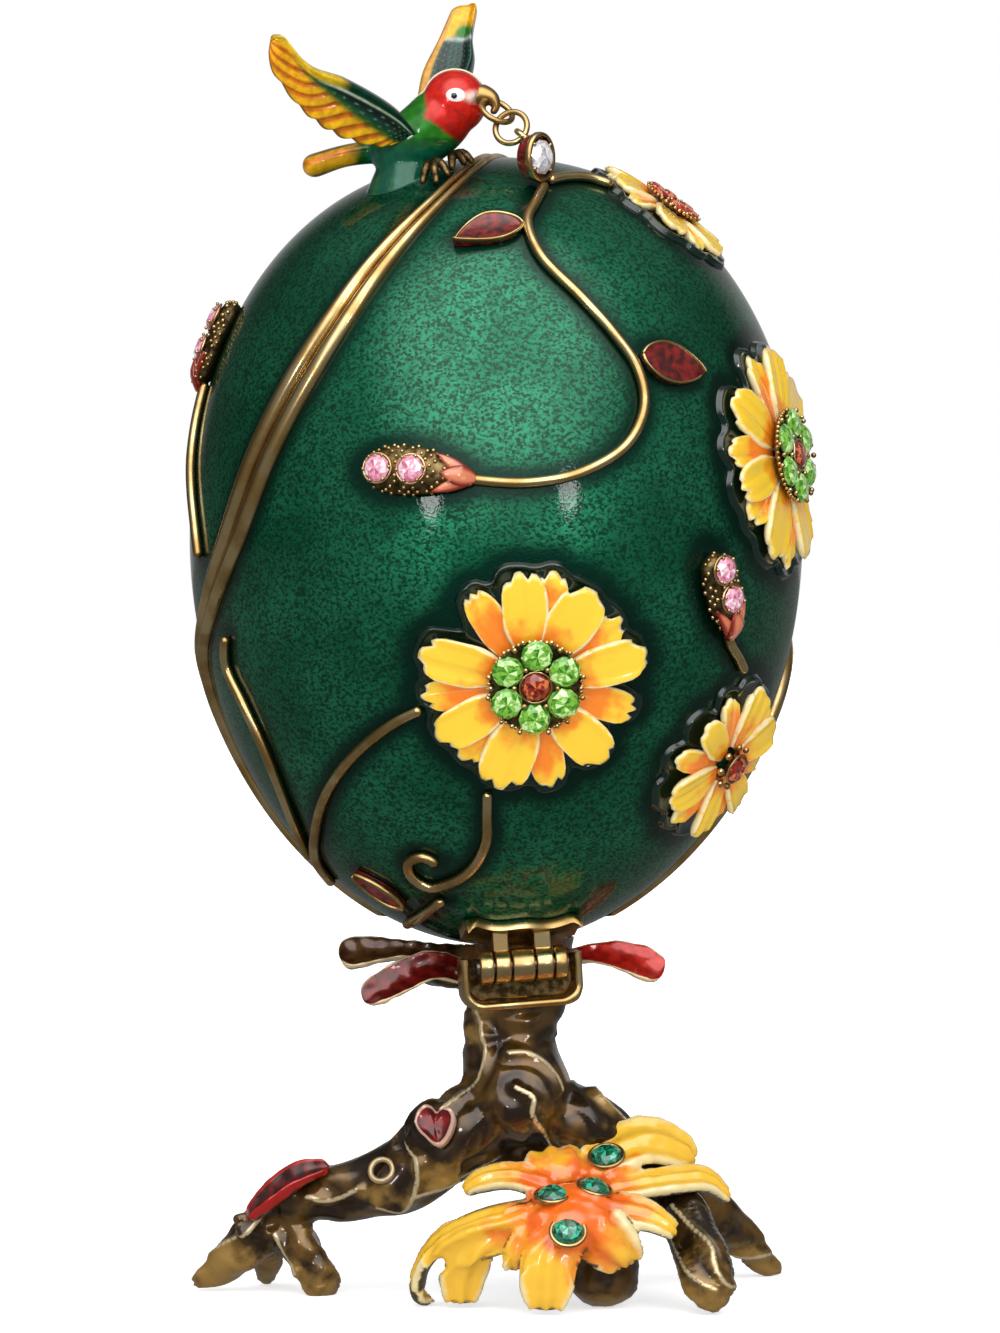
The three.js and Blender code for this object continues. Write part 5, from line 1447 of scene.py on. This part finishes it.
# The knee leaf is heart-shaped, creased down its middle, with a pale raised outline
HEART = [(-2.3, 0.5), (-1.9, 1.7), (-1.1, 2.4), (-0.3, 2.2), (0.4, 1.5), (1.2, 2.0), (2.0, 1.8), (2.4, 0.8),
         (2.1, -0.6), (1.4, -1.8), (0.6, -2.4), (-0.2, -2.1), (-1.0, -1.3), (-1.8, -0.5)]
HEART_PLACE = Vector((-6.9, -9.3, 20.3))
# Its section: share of the outline, lift, and whether that place is in the hollow
HEART_SECTION = [(0.0, 0.0, 1), (0.35, 0.05, 1), (0.65, 0.2, 1), (0.84, 0.5, 1), (0.93, 0.62, 1),
                 (1.0, 0.5, 1), (1.03, 0.1, 0.3), (1.0, -0.9, 0), (0.0, -1.1, 0)]
heart_out = Vector((-0.2, -0.92, 0.33)).normalized()
heart_side = Vector((1, 0, 0)) - heart_out * heart_out.x
heart_up = heart_out.cross(heart_side.normalized())
heart_line = course([(u, v, 0, 0) for u, v in HEART + HEART[:1]], 5)[:, :2]
heart_rows, heart_aside, heart_inner = [], [], []
for share, lift, inner in HEART_SECTION:
    row = []
    for u, v in heart_line:
        beside = (u * share - 0.25 + v * share * 0.12) / 0.22
        crease = 0.45 * math.exp(-beside ** 2) * max(1 - share, 0) if inner else 0
        row.append(HEART_PLACE + heart_side * u * share + heart_up * v * share + heart_out * (lift + crease))
    heart_rows.append(row)
    heart_aside.append([share] * len(row))
    heart_inner.append([inner] * len(row))
knee = skin("root_leaf_knee_enamel", heart_rows, {"aside": heart_aside, "inner": heart_inner}, angle=60)
finish(knee, "base", heart_red, ["root_leaf_knee"])
LONG_LEAF = [(-18.9, -2.2, 15.0, 0.8, 0.8), (-22.3, -2.0, 14.0, 1.9, 1.3), (-26.0, -1.8, 11.3, 2.0, 1.4),
             (-28.3, -1.6, 9.0, 1.0, 0.9)]
blade = creased(limb("root_leaf_long_enamel", LONG_LEAF, 28, 0.35, (-0.25, -0.75, -0.6), curled), 0.12)
finish(blade, "base", curled_red, ["root_leaf_long"])

# Foot flower
# Each lobe's stations, and the direction its width lies along
LOBES = [
    ([(8.4, -11, 12.6, 4.6, 2.6), (8.0, -15, 11.4, 5.0, 2.4), (8.2, -18.5, 9.0, 3.8, 1.6)], (1, 0, 0.1)),
    ([(6.4, -13.5, 11.4, 2.6, 1.6), (-1.0, -14, 10.2, 2.6, 1.4), (-5.8, -12.4, 8.0, 2.4, 1.2),
      (-8.4, -10.4, 4.6, 1.9, 1.0),
      (-8.6, -8.8, 1.2, 1.6, 0.9), (-7.2, -8, 0.6, 0.9, 0.7)], (0, 1, 0.2)),
    ([(0.6, -14.6, 10.0, 2.6, 1.3), (-2.4, -13.6, 7.4, 2.7, 1.3), (-3.7, -12, 3.8, 2.6, 1.2),
      (-4.0, -11, 0.4, 1.7, 0.9)], (1, 0, 0.3)),
    ([(7.2, -16.5, 10.0, 3.8, 1.5), (5.9, -18, 6.2, 3.3, 1.3), (5.6, -17.8, 2.8, 2.9, 1.1),
      (5.5, -17, 0.4, 1.6, 0.9)], (1, 0, 0)),
    ([(4.6, -15.6, 9.0, 2.2, 1.2), (2.4, -16, 6.8, 1.9, 1.1), (2.1, -15.4, 4.7, 1.0, 0.8)], (1, 0.3, 0)),
    ([(6.4, -11, 13.6, 2.4, 1.3), (1.8, -9.4, 14.6, 1.9, 1.1), (-2.0, -8.6, 13.8, 1.6, 1.0),
      (-3.6, -8.6, 12.6, 0.8, 0.7)], (0, 0.8, 0.6)),
    ([(7.4, -10, 13.2, 4.2, 1.8), (6.4, -7.6, 16.2, 3.5, 1.6), (5.9, -6, 17.4, 2.0, 1.0)], (1, 0, 0)),
    ([(10.6, -9.6, 13.8, 3.0, 1.5), (12.8, -7, 16.6, 3.4, 1.4), (16.9, -5.4, 18.2, 3.3, 1.3),
      (20.7, -4, 17.0, 2.6, 1.2),
      (22.4, -3.4, 15.2, 1.4, 0.9)], (0.2, 0.8, 0.7)),
    ([(12.0, -11, 12.8, 2.4, 1.4), (19.0, -9, 13.9, 2.2, 1.2), (23.6, -7, 13.9, 2.0, 1.1),
      (26.4, -6, 11.7, 1.1, 0.8)], (0, 1, 0.5)),
    ([(11.2, -14, 11.4, 2.8, 1.4), (16.6, -15, 10.8, 2.3, 1.2), (20.2, -15, 8.8, 1.2, 0.8)], (0, 0.8, 0.6)),
    ([(10.4, -16.4, 10.2, 4.0, 1.6), (13.2, -16.4, 7.2, 3.4, 1.3), (14.8, -15.4, 5.2, 1.8, 0.9)],
     (0.9, -0.4, 0.6)),
    ([(2.6, -14.4, 9.8, 2.6, 1.2), (-2.4, -13.8, 8.2, 2.9, 1.2), (-5.6, -12.4, 5.8, 2.3, 1.1)], (0, 0.3, 1)),
]
foot = cast("foot_flower_petals", [limb("lobe", stations, 24, 0.6, across) for stations, across in LOBES],
            0.3, 4)
points, normals = points_of(foot)
lobe_lines = [(course(stations, 10), Vector(across).normalized()) for stations, across in LOBES]
FOOT_HEART = Vector((8.4, -14.5, 12.0))
reach_marks = np.zeros(len(points))
edge_marks = np.zeros(len(points))
under_marks = np.zeros(len(points))
swell = np.zeros(len(points))
for k in range(len(points)):
    p = points[k]
    inner = 9.0
    outward = None
    for line, across in lobe_lines:
        gaps = np.linalg.norm(line[:, :3] - p, axis=1)
        i = int(np.argmin(gaps))
        half = max(line[i, 3], 0.3)
        if gaps[i] > half + 1.6:
            continue
        j = min(i + 1, len(line) - 1)
        along = Vector(line[j, :3] - line[max(j - 1, 0), :3]).normalized()
        wide = (across - along * across.dot(along)).normalized()
        up = along.cross(wide)
        if up.dot(Vector((0, -0.55, 0.83))) < 0:
            up = -up
        local = Vector(p - line[i, :3])
        side = abs(local.dot(wide)) / half
        beyond = max(local.dot(along), 0) / half if i == len(line) - 1 else 0.0
        share = math.hypot(side, beyond)
        if share < inner:
            inner = share
            outward = up
    facing = Vector(normals[k]).dot(outward) if outward else 1.0
    reach_marks[k] = (Vector(p) - FOOT_HEART).length / 13.0
    edge_marks[k] = min(inner, 1.2)
    under_marks[k] = 1.0 if facing < -0.15 else 0.0
    if facing > 0 and inner < 9:
        rim = 0.34 * math.exp(-((inner - 0.85) / 0.14) ** 2)
        hollow = 0.45 * math.exp(-((inner - 0.42) / 0.3) ** 2)
        swell[k] = rim - hollow + 0.15 * noise.noise(Vector(p) * 0.7)
points = points + normals * swell[:, None]
points[:, 2] = np.maximum(points[:, 2], 0.02)
put_points(foot, points)
mark(foot, "reach", reach_marks)
mark(foot, "edge", edge_marks)
mark(foot, "under", under_marks)

finish(foot, "base", foot_enamel, ["foot_flower"])

POST = [(12, -10, 0, 3.6, 3.2), (12, -10, 1.5, 3.9, 3.5), (12, -10.4, 6, 3.8, 3.4),
        (11.4, -11.5, 10, 3.2, 3.0)]
post = limb("foot_post_casting", POST, 32, 0.4, (1, 0, 0))
points, normals = points_of(post)
pitted = np.array([noise.noise(Vector(p) * 1.2) for p in points]) * 0.3
points = points + normals * pitted[:, None]
points[:, 2] = np.maximum(points[:, 2], 0.02)
put_points(post, points)
mark(post, "ridge", np.clip(1.3 - points[:, 2] / 2.2, 0.1, 1))
mark(post, "line", np.zeros(len(points)))
finish(post, "base", bark, ["foot_post"])


def seat_of(node):
    """Floor place and facing of a stone, read from its CAD node: the flat facet that the viewer sees."""
    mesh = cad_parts[node].data
    middle = sum((v.co for v in mesh.vertices), Vector()) / len(mesh.vertices)
    totals = {}
    for face in mesh.polygons:
        key = tuple(round(c, 1) for c in face.normal)
        area, normal = totals.get(key, (0.0, Vector()))
        totals[key] = (area + face.area, normal + face.normal * face.area)
    flats = sorted(totals.values(), key=lambda t: -t[0])[:2]
    facing = max((normal.normalized() for _, normal in flats), key=lambda n: n.dot(Vector((0, -0.7, 0.7))))
    low = min((v.co - middle).dot(facing) for v in mesh.vertices)
    return (middle + facing * low) / MM - AXIS, facing


for index in range(1, 5):
    place, facing = seat_of(f"emerald_{index}")
    stones(f"emerald_{index}_cut", [(place, facing)], EMERALD, emerald, "base",
           [f"emerald_{index}"])
    collar(f"emerald_{index}_bezel", place, facing, EMERALD + 0.17, 0.26, "base", 0.45)

# Bird
SIDE = (0, 1, 0)


def on_top(stations):
    """Stations given from the egg's top."""
    return [(s[0], s[1], s[2] + EGG_TOP, *s[3:]) for s in stations]


HEAD = Vector((-4.6, -9.5, 5.7 + EGG_TOP))
trunk_line = on_top([(-13.9, -7.6, -0.2, 1.9, 2.0), (-11.2, -8.8, 0.4, 3.0, 3.1), (-7.8, -9.4, 2.4, 3.4, 3.6),
                     (-5.4, -9.5, 5, 3.3, 3.4), (-4.8, -9.5, 7.4, 2.4, 2.4), (-4.8, -9.5, 8.9, 0.9, 0.9)])
tail_line = on_top([(-12.4, -8.0, 0.4, 2.0, 1.4), (-17.0, -7.2, -0.2, 2.4, 1.25),
                    (-20.6, -6.4, -1.3, 2.6, 1.35),
                    (-21.6, -6.2, -1.6, 2.5, 1.3)])
perch_line = on_top([(-9.6, -8.6, 1.3, 2.9, 2.9), (-9.8, -8.6, -1.2, 3.2, 3.2), (-10.1, -8.6, -3.4, 3.9, 3.9),
                     (-10.3, -8.7, -7.2, 5.6, 5.4)])
# Where the upper ring hangs: centre from the egg's top, radius and the way it faces
RING_CENTRE = (0.1, -12.13, 4.5)
RING_RADIUS = 1.85
RING_FACING = (0.39, -0.57, 0.73)
fresh()
bpy.ops.mesh.primitive_uv_sphere_add(segments=40, ring_count=24, radius=3.6 * MM)
crown = bpy.context.object
crown.data.transform(Matrix.Translation((HEAD + AXIS) * MM))
bird_limbs = [limb(label, line, 24, 0.5, SIDE)
              for label, line in (("body", trunk_line), ("tail", tail_line), ("perch", perch_line))]
bird = cast("bird_body_enamel", [*bird_limbs, crown], 0.26, 5)
points, normals = points_of(bird)
# The throat is hollowed a little, to leave the upper ring room to swing
ring_centre = np.array(RING_CENTRE) + (0, 0, EGG_TOP)
ring_facing = np.array(RING_FACING) / np.linalg.norm(RING_FACING)
from_ring = points - ring_centre
beside = from_ring @ ring_facing
around = np.linalg.norm(from_ring - beside[:, None] * ring_facing, axis=1)
close = np.hypot(around - RING_RADIUS, beside)
points = points - normals * (np.clip(1.15 - close, 0, 0.8) * 0.75)[:, None]
put_points(bird, points)
GREEN_BODY = linear("#2a9418")
GREEN_DARK = linear("#0e5510")
TEAL = linear("#0a5b42")
RED_HEAD = linear("#d81f12")
RED_DARK = linear("#8a0d0a")
YELLOW = linear("#f2b41e")
ORANGE = linear("#d9761a")
GOLD_BROWN = linear("#6b4f1c")
PALE = linear("#f4d8c8")


def blend_of(a, b, w):
    """One painted colour passing into another."""
    w = min(max(w, 0.0), 1.0)
    return [a[i] * (1 - w) + b[i] * w for i in range(4)]


colours = []
for p in points:
    x, z = p[0] - HEAD.x, p[2] - HEAD.z
    rough = 0.35 * noise.noise(Vector(p) * 1.1)
    tone = blend_of(GREEN_BODY, GREEN_DARK, 0.5 - 0.9 * rough + (0.4 if p[2] - EGG_TOP < 1.5 else 0))
    tone = blend_of(tone, TEAL, (1.0 + rough - (p[2] - EGG_TOP)) / 1.6 + 0.3 if p[0] > -14.5 else 0)
    border = min(x + 3.5, z + 1.9 + 0.68 * (x + 3.6))
    head_tone = blend_of(RED_HEAD, RED_DARK, (-z - 1.5) / 3)
    tone = blend_of(tone, head_tone, (border + rough) / 0.4)
    if p[0] < -13.0 and p[2] - EGG_TOP < 3:
        above = p[2] - EGG_TOP + 0.35 - (p[0] + 17) * 0.28
        tail_tone = blend_of(YELLOW, ORANGE, math.exp(-((above - 0.45) / 0.35) ** 2))
        tail_tone = blend_of(tail_tone, GOLD_BROWN, (abs(above) - 0.98) / 0.22)
        tone = blend_of(tone, tail_tone, (-14.9 - p[0] + rough * 2) / 1.6)
    patch_share = 1.25 - math.hypot((x - 2.1) / 1.15, (z - 0.4) / 0.75)
    tone = blend_of(tone, PALE, patch_share * 1.2 if x > 1.0 else 0)
    colours.append(tone)
for k in range(len(points)):
    p = Vector(points[k])
    if egg_level(p) < 0.002 and p.z > WIDEST:
        z = p.z
        r = math.hypot(p.x, p.y)
        low, high = p.z, EGG_TOP + 1
        for _ in range(18):
            middle = (low + high) / 2
            if egg_level(Vector((p.x, p.y, middle))) < 0.002:
                low = middle
            else:
                high = middle
        p.z = min(high, z + 6)
        points[k] = p
put_points(bird, points)
paint(bird, colours)
finish(bird, "base", feathers, ["bird_body"])

# Eyes: half sizes, place forward of the head's middle, reach to the side, and material
EYE_RISE = 0.45
EYES = {
    "eye_white": ((1.15, 0.45, 0.9), 0.1, 3.25, eye_white),
    "eye_pupil": ((0.34, 0.2, 0.34), -0.05, 3.72, eye_black),
}
for side in (-1, 1):
    for label, (size, forward, reach, material) in EYES.items():
        fresh()
        bpy.ops.mesh.primitive_uv_sphere_add(segments=24, ring_count=14, radius=MM)
        ball = bpy.context.object
        ball.name = ball.data.name = label + ("_near" if side < 0 else "_far")
        middle = HEAD + AXIS + Vector((forward, side * reach, EYE_RISE))
        ball.data.transform(Matrix.Translation(middle * MM) @ Matrix.Diagonal((*size, 1)))
        bpy.ops.object.shade_smooth()
        finish(ball, "base", material)
# A cream line over the crown of the head, from the nape to the beak
crest = []
for angle in (158, 140, 122, 104, 86, 68, 50, 34):
    a = math.radians(angle)
    crest.append((HEAD.x + 3.6 * math.cos(a), HEAD.y, HEAD.z + 3.62 * math.sin(a), 0.13))
crest.insert(0, (HEAD.x - 4.9, HEAD.y, HEAD.z - 0.1, 0.13))
finish(limb("head_cream_line", crest, 8, 0.35, SIDE), "base", cream)


def rounding(share):
    """How full a rounded border is, from all at 0 to nothing at 1."""
    return math.sqrt(max(1 - max(share, 0) ** 2, 0))


# Colours of the near wing, then of the far one
FEATHER_YELLOW = linear("#fbbf14")
FEATHER_GROOVE = linear("#c4660f")
FEATHER_ORANGE = linear("#ef8f12")
SCALE_DARK = linear("#031a14")
SCALE_TEAL = linear("#08402d")
SCALE_PALE = linear("#9cc4bc")
BORDER_GREEN = linear("#2c6a10")
FRONT_DARK = linear("#05382a")
FRONT_YELLOW = linear("#f3c92a")
SHOULDER_LINE = linear("#cfe0c0")
BACK_BROWN = linear("#7a5414")
FAR_DARK = linear("#03201a")
FAR_TEAL = linear("#084030")
FAR_SCALE = linear("#6f9a8c")
# The far wing's grey-white band is a painted highlight
FAR_HIGHLIGHT_BAND = linear("#b4bcb8")
FAR_YELLOW = linear("#f7ae0a")
FAR_SPOT = linear("#1f7a10")
FAR_BACK = linear("#c98f2a")


def wing(name, leading, trailing, thickness, far):
    """A wing with a rounded leading ridge, small scales near the shoulder and long grooved feathers."""
    front = course([(x, y, z + EGG_TOP, 0, 0) for x, y, z in leading], 24)[:, :3]
    back = course([(x, y, z + EGG_TOP, 0, 0) for x, y, z in trailing], 24)[:, :3]
    steps, columns = 96, 44
    rows, colours = [], []
    for i in range(steps + 1):
        s = i / steps
        k = s * (len(front) - 1)
        a = Vector([float(np.interp(k, range(len(front)), front[:, c])) for c in range(3)])
        b = Vector([float(np.interp(s * (len(back) - 1), range(len(back)), back[:, c])) for c in range(3)])
        ahead = Vector(front[min(int(k) + 1, len(front) - 1)] - front[max(int(k) - 1, 0)]).normalized()
        chord = b - a
        face = ahead.cross(chord).normalized()
        end = rounding((s - 0.93) / 0.07) * rounding((0.03 - s) / 0.03)
        row, row_colours = [], []
        for side in (1, -1):
            for j in (range(columns + 1) if side > 0 else range(columns, -1, -1)):
                c = j / columns
                # Grooves between the long feathers, which start further forward toward the tip
                groove = 1.0 if far else abs(math.sin(math.pi * (8.5 * (s - 0.45 * (c - 0.6)))))
                start = 0.9 - 0.92 * s
                long_feather = min(max((c - start) / 0.14, 0), 1)
                ridge = math.exp(-((c - 0.07) / 0.10) ** 2)
                body = 0.30 + 0.5 * (1 - c) ** 0.7 + 0.8 * ridge
                body *= 1 - 0.42 * (1 - groove) ** 2 * long_feather
                # Small scales in staggered rows near the shoulder
                lane = round(c * 9)
                scale = max(math.cos(2 * math.pi * (s * 15 + (lane % 2) * 0.5)), 0)
                scale *= max(math.cos(2 * math.pi * c * 9), 0)
                body += 0.14 * scale * (1 - long_feather) * (1 - ridge)
                # Rounded borders, with the feathers' ends standing out
                edge_round = rounding((c - 0.93) / 0.07) * rounding((0.06 - c) / 0.06)
                out_to = c + 0.07 * (groove - 0.4) * long_feather * c ** 3
                lift = side * body * thickness * 0.62 * end * edge_round
                row.append(a + chord * (0.45 + (out_to - 0.45) * end) + face * lift)
                # Near wing: yellow feathers, dark scales, a pale line behind the leading ridge
                yellow = blend_of(FEATHER_YELLOW, FEATHER_GROOVE, ((1 - groove) * 2.2) ** 2 * 0.8)
                yellow = blend_of(yellow, FEATHER_ORANGE, max(s - 0.5, 0) * 0.8)
                dark = blend_of(SCALE_DARK, SCALE_TEAL, 0.5 + 0.5 * math.cos(c * 20 + s * 9))
                dark = blend_of(dark, SCALE_PALE, scale ** 4 * 0.8)
                green_edge = min(max((c - start + 0.1) / 0.1, 0), 1) * (1 - long_feather)
                dark = blend_of(dark, BORDER_GREEN, 0.75 * green_edge)
                tone = blend_of(dark, yellow, long_feather)
                front_tone = blend_of(FRONT_DARK, FRONT_YELLOW, (s - 0.48) / 0.1)
                tone = blend_of(tone, front_tone, (0.21 - c) / 0.03)
                pale_line = math.exp(-((c - 0.215) / 0.022) ** 2) * min(max((0.72 - s) / 0.12, 0), 1)
                tone = blend_of(tone, SHOULDER_LINE, pale_line)
                tone = blend_of(tone, BACK_BROWN, (c - 0.955) / 0.03)
                if far:
                    # Far wing: dark scales, a painted highlight band, a yellow tip with a green spot
                    tone = blend_of(FAR_DARK, FAR_TEAL, 0.5 + 0.5 * math.cos(c * 14))
                    tone = blend_of(tone, FAR_SCALE, scale ** 3 * 0.6)
                    painted_highlight_band = math.exp(-((s - 0.61 - 0.06 * c) / 0.03) ** 2) * 0.9
                    tone = blend_of(tone, FAR_HIGHLIGHT_BAND, painted_highlight_band)
                    tone = blend_of(tone, FAR_YELLOW, (s - 0.66 + 0.12 * (c - 0.5)) / 0.04)
                    spot = math.exp(-((s - 0.72) / 0.06) ** 2 - ((c - 0.32) / 0.25) ** 2)
                    tone = blend_of(tone, FAR_SPOT, spot * 1.6)
                    tone = blend_of(tone, FAR_BACK, (c - 0.80) / 0.05)
                row_colours.append(tone)
        row.append(row[0])
        row_colours.append(row_colours[0])
        rows.append(row)
        colours.append(row_colours)
    return skin(name + "_enamel", rows, None, colours)


# Edges of the wings, from root to tip, with heights from the egg's top
near_leading = [(-9.0, -12.2, 2.4), (-11.2, -14, 4.8), (-16.7, -17, 7.9), (-20.5, -19, 9.2),
                (-24.3, -21.2, 13.2)]
near_trailing = [(-10.6, -12.0, 1.1), (-13.0, -13, 0.6), (-17.6, -15.6, 1.8), (-21.4, -18, 4.4),
                 (-25.4, -21.2, 9.5)]
far_leading = [(-3.2, -6.0, 8), (-2.4, -4.6, 10.4), (-2.6, -3.0, 13.2), (-2.0, -1, 17.15)]
far_trailing = [(-8.6, -6.4, 6.4), (-8.0, -4.8, 9.4), (-6.3, -3.0, 13.2), (-4.7, -1, 17.15)]
finish(wing("wing_near", near_leading, near_trailing, 1.5, False), "base", feathers,
       ["wing_near"])
finish(wing("wing_far", far_leading, far_trailing, 1.4, True), "base", feathers, ["wing_far"])
beak_line = on_top([(-2.6, -10.0, 6.1, 1.8, 1.75), (-1.4, -10.4, 6.3, 1.4, 1.3),
                    (-0.4, -10.9, 5.9, 0.95, 0.85),
                    (-0.05, -11.2, 5.0, 0.5, 0.5), (-0.45, -11.25, 4.25, 0.34, 0.34)])
finish(limb("beak_gilt", beak_line, 20, 0.2, SIDE), "base", gilt, ["beak"])
# Feet: the ankle and three toe tips, with heights from the egg's top
FEET = {
    "foot_near": ((-7.2, -12.6, -1.2), ((-8.2, -14.6, -3.7), (-6.6, -15.2, -3.7), (-5.2, -14.4, -2.8))),
    "foot_far": ((-4.9, -10.8, -0.4), ((-4.9, -12.6, -2.1), (-3.4, -12.4, -1.5), (-2.5, -11.2, -1.2))),
}
for name, (ankle, tips) in FEET.items():
    toes = []
    for tip in tips:
        knee = [(a + b) / 2 for a, b in zip(ankle, tip)]
        toe = on_top([(*ankle, 0.55), (knee[0], knee[1], knee[2] + 0.7, 0.52), (*tip, 0.34)])
        toes.append(limb("toe", toe, 14, 0.3))
    finish(joined(name + "_toes", toes), "base", dark_gilt, [name])


# Clasp: two wire rings, and the drop with its cup, bail and crystal
CHAIN_WIRE = 0.34


def ring(name, centre, radius, facing, body, nodes):
    """A wire ring of the chain, its centre given from the egg's top."""
    fresh()
    bpy.ops.mesh.primitive_torus_add(major_radius=radius, minor_radius=CHAIN_WIRE, major_segments=64,
                                     minor_segments=16)
    piece = bpy.context.object
    piece.name = piece.data.name = name
    piece.data.transform(settled((centre[0], centre[1], centre[2] + EGG_TOP), facing))
    bpy.ops.object.shade_smooth()
    if body:
        finish(piece, body, gilt, nodes)
    return piece


ring("chain_ring_upper_wire", RING_CENTRE, RING_RADIUS, RING_FACING, "clasp_ring_upper", ["chain_ring_upper"])
ring("chain_ring_lower_wire", (1.7, -13.5, 2.6), RING_RADIUS, (-0.33, -0.9, 0.3), "clasp_ring_lower",
     ["chain_ring_lower"])
DROP_TALL = 1.16
drop_centre = Vector((4.35, -16.2, EGG_TOP - 0.85))
drop_out = direction(52)
drop_up = Vector((0, 0, 1))
drop_side = drop_up.cross(drop_out)


def drop_ring(depth, radius):
    """One outline of the drop, a little taller than wide, at a depth along the way it faces."""
    middle = drop_centre + drop_out * depth
    return [middle + (drop_side * math.cos(a) + drop_up * (math.sin(a) * DROP_TALL)) * radius
            for a in np.linspace(0, 2 * math.pi, 49)]


def turned_drop(name, profile, angle):
    """A part of the drop through outlines given as depth and radius."""
    return skin(name, [drop_ring(depth, radius) for depth, radius in profile], angle=angle)


red_profile = [(-1.1, 0.0), (-1.1, 1.9), (-0.8, 2.1), (-0.2, 2.22), (0.45, 2.22), (0.5, 0.0)]
finish(turned_drop("drop_red_side", red_profile, 50), "door", ruby)
rim_profile = [(0.3, 1.9), (0.3, 2.3), (0.4, 2.42), (0.75, 2.42), (1.0, 2.36), (1.1, 2.2), (1.05, 2.02),
               (0.6, 1.92), (0.3, 1.9)]
gold_rim = turned_drop("drop_rim", rim_profile, 60)
bail = ring("bail", (3.13, -14.35, 1.6), 0.95, (0.57, -0.1, 0.82), None, [])
back_profile = [(-1.12, 0.0), (-1.12, 1.75), (-1.0, 1.95), (-0.85, 2.06), (-0.75, 2.0), (-0.75, 0.0)]
back_plate = turned_drop("drop_back", back_profile, 60)
finish(joined("pendant_cup_gilt", [gold_rim, bail, back_plate]), "door", gilt, ["pendant_cup"])
crystal_floor = drop_centre + drop_out * 0.2
stones("pendant_crystal_cut", [(crystal_floor, drop_out)], DROP_CRYSTAL, crystal, "door",
       ["pendant_crystal"])
claws = []
for a in (0.8, 2.4, 3.9, 5.5):
    spoke = drop_side * math.cos(a) + drop_up * math.sin(a)
    claws.append((drop_centre + drop_out * 1.05 + spoke * 1.98, drop_out))
beads("drop_claws", claws, 0.24, "door")

# The shells come last, because their enamel gets painted shade beside what stands on them. Then the
# templates go, and any node that still shows is gilt
finish(shell("front_shell_enamel", 0), "door", green, ["front_shell"])
finish(shell("rear_shell_enamel", 180), "base", green, ["rear_shell"])
for spare in templates:
    bpy.data.objects.remove(spare)
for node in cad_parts.values():
    if not node.hide_render:
        node.data.materials.clear()
        node.data.materials.append(gilt)
low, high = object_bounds()
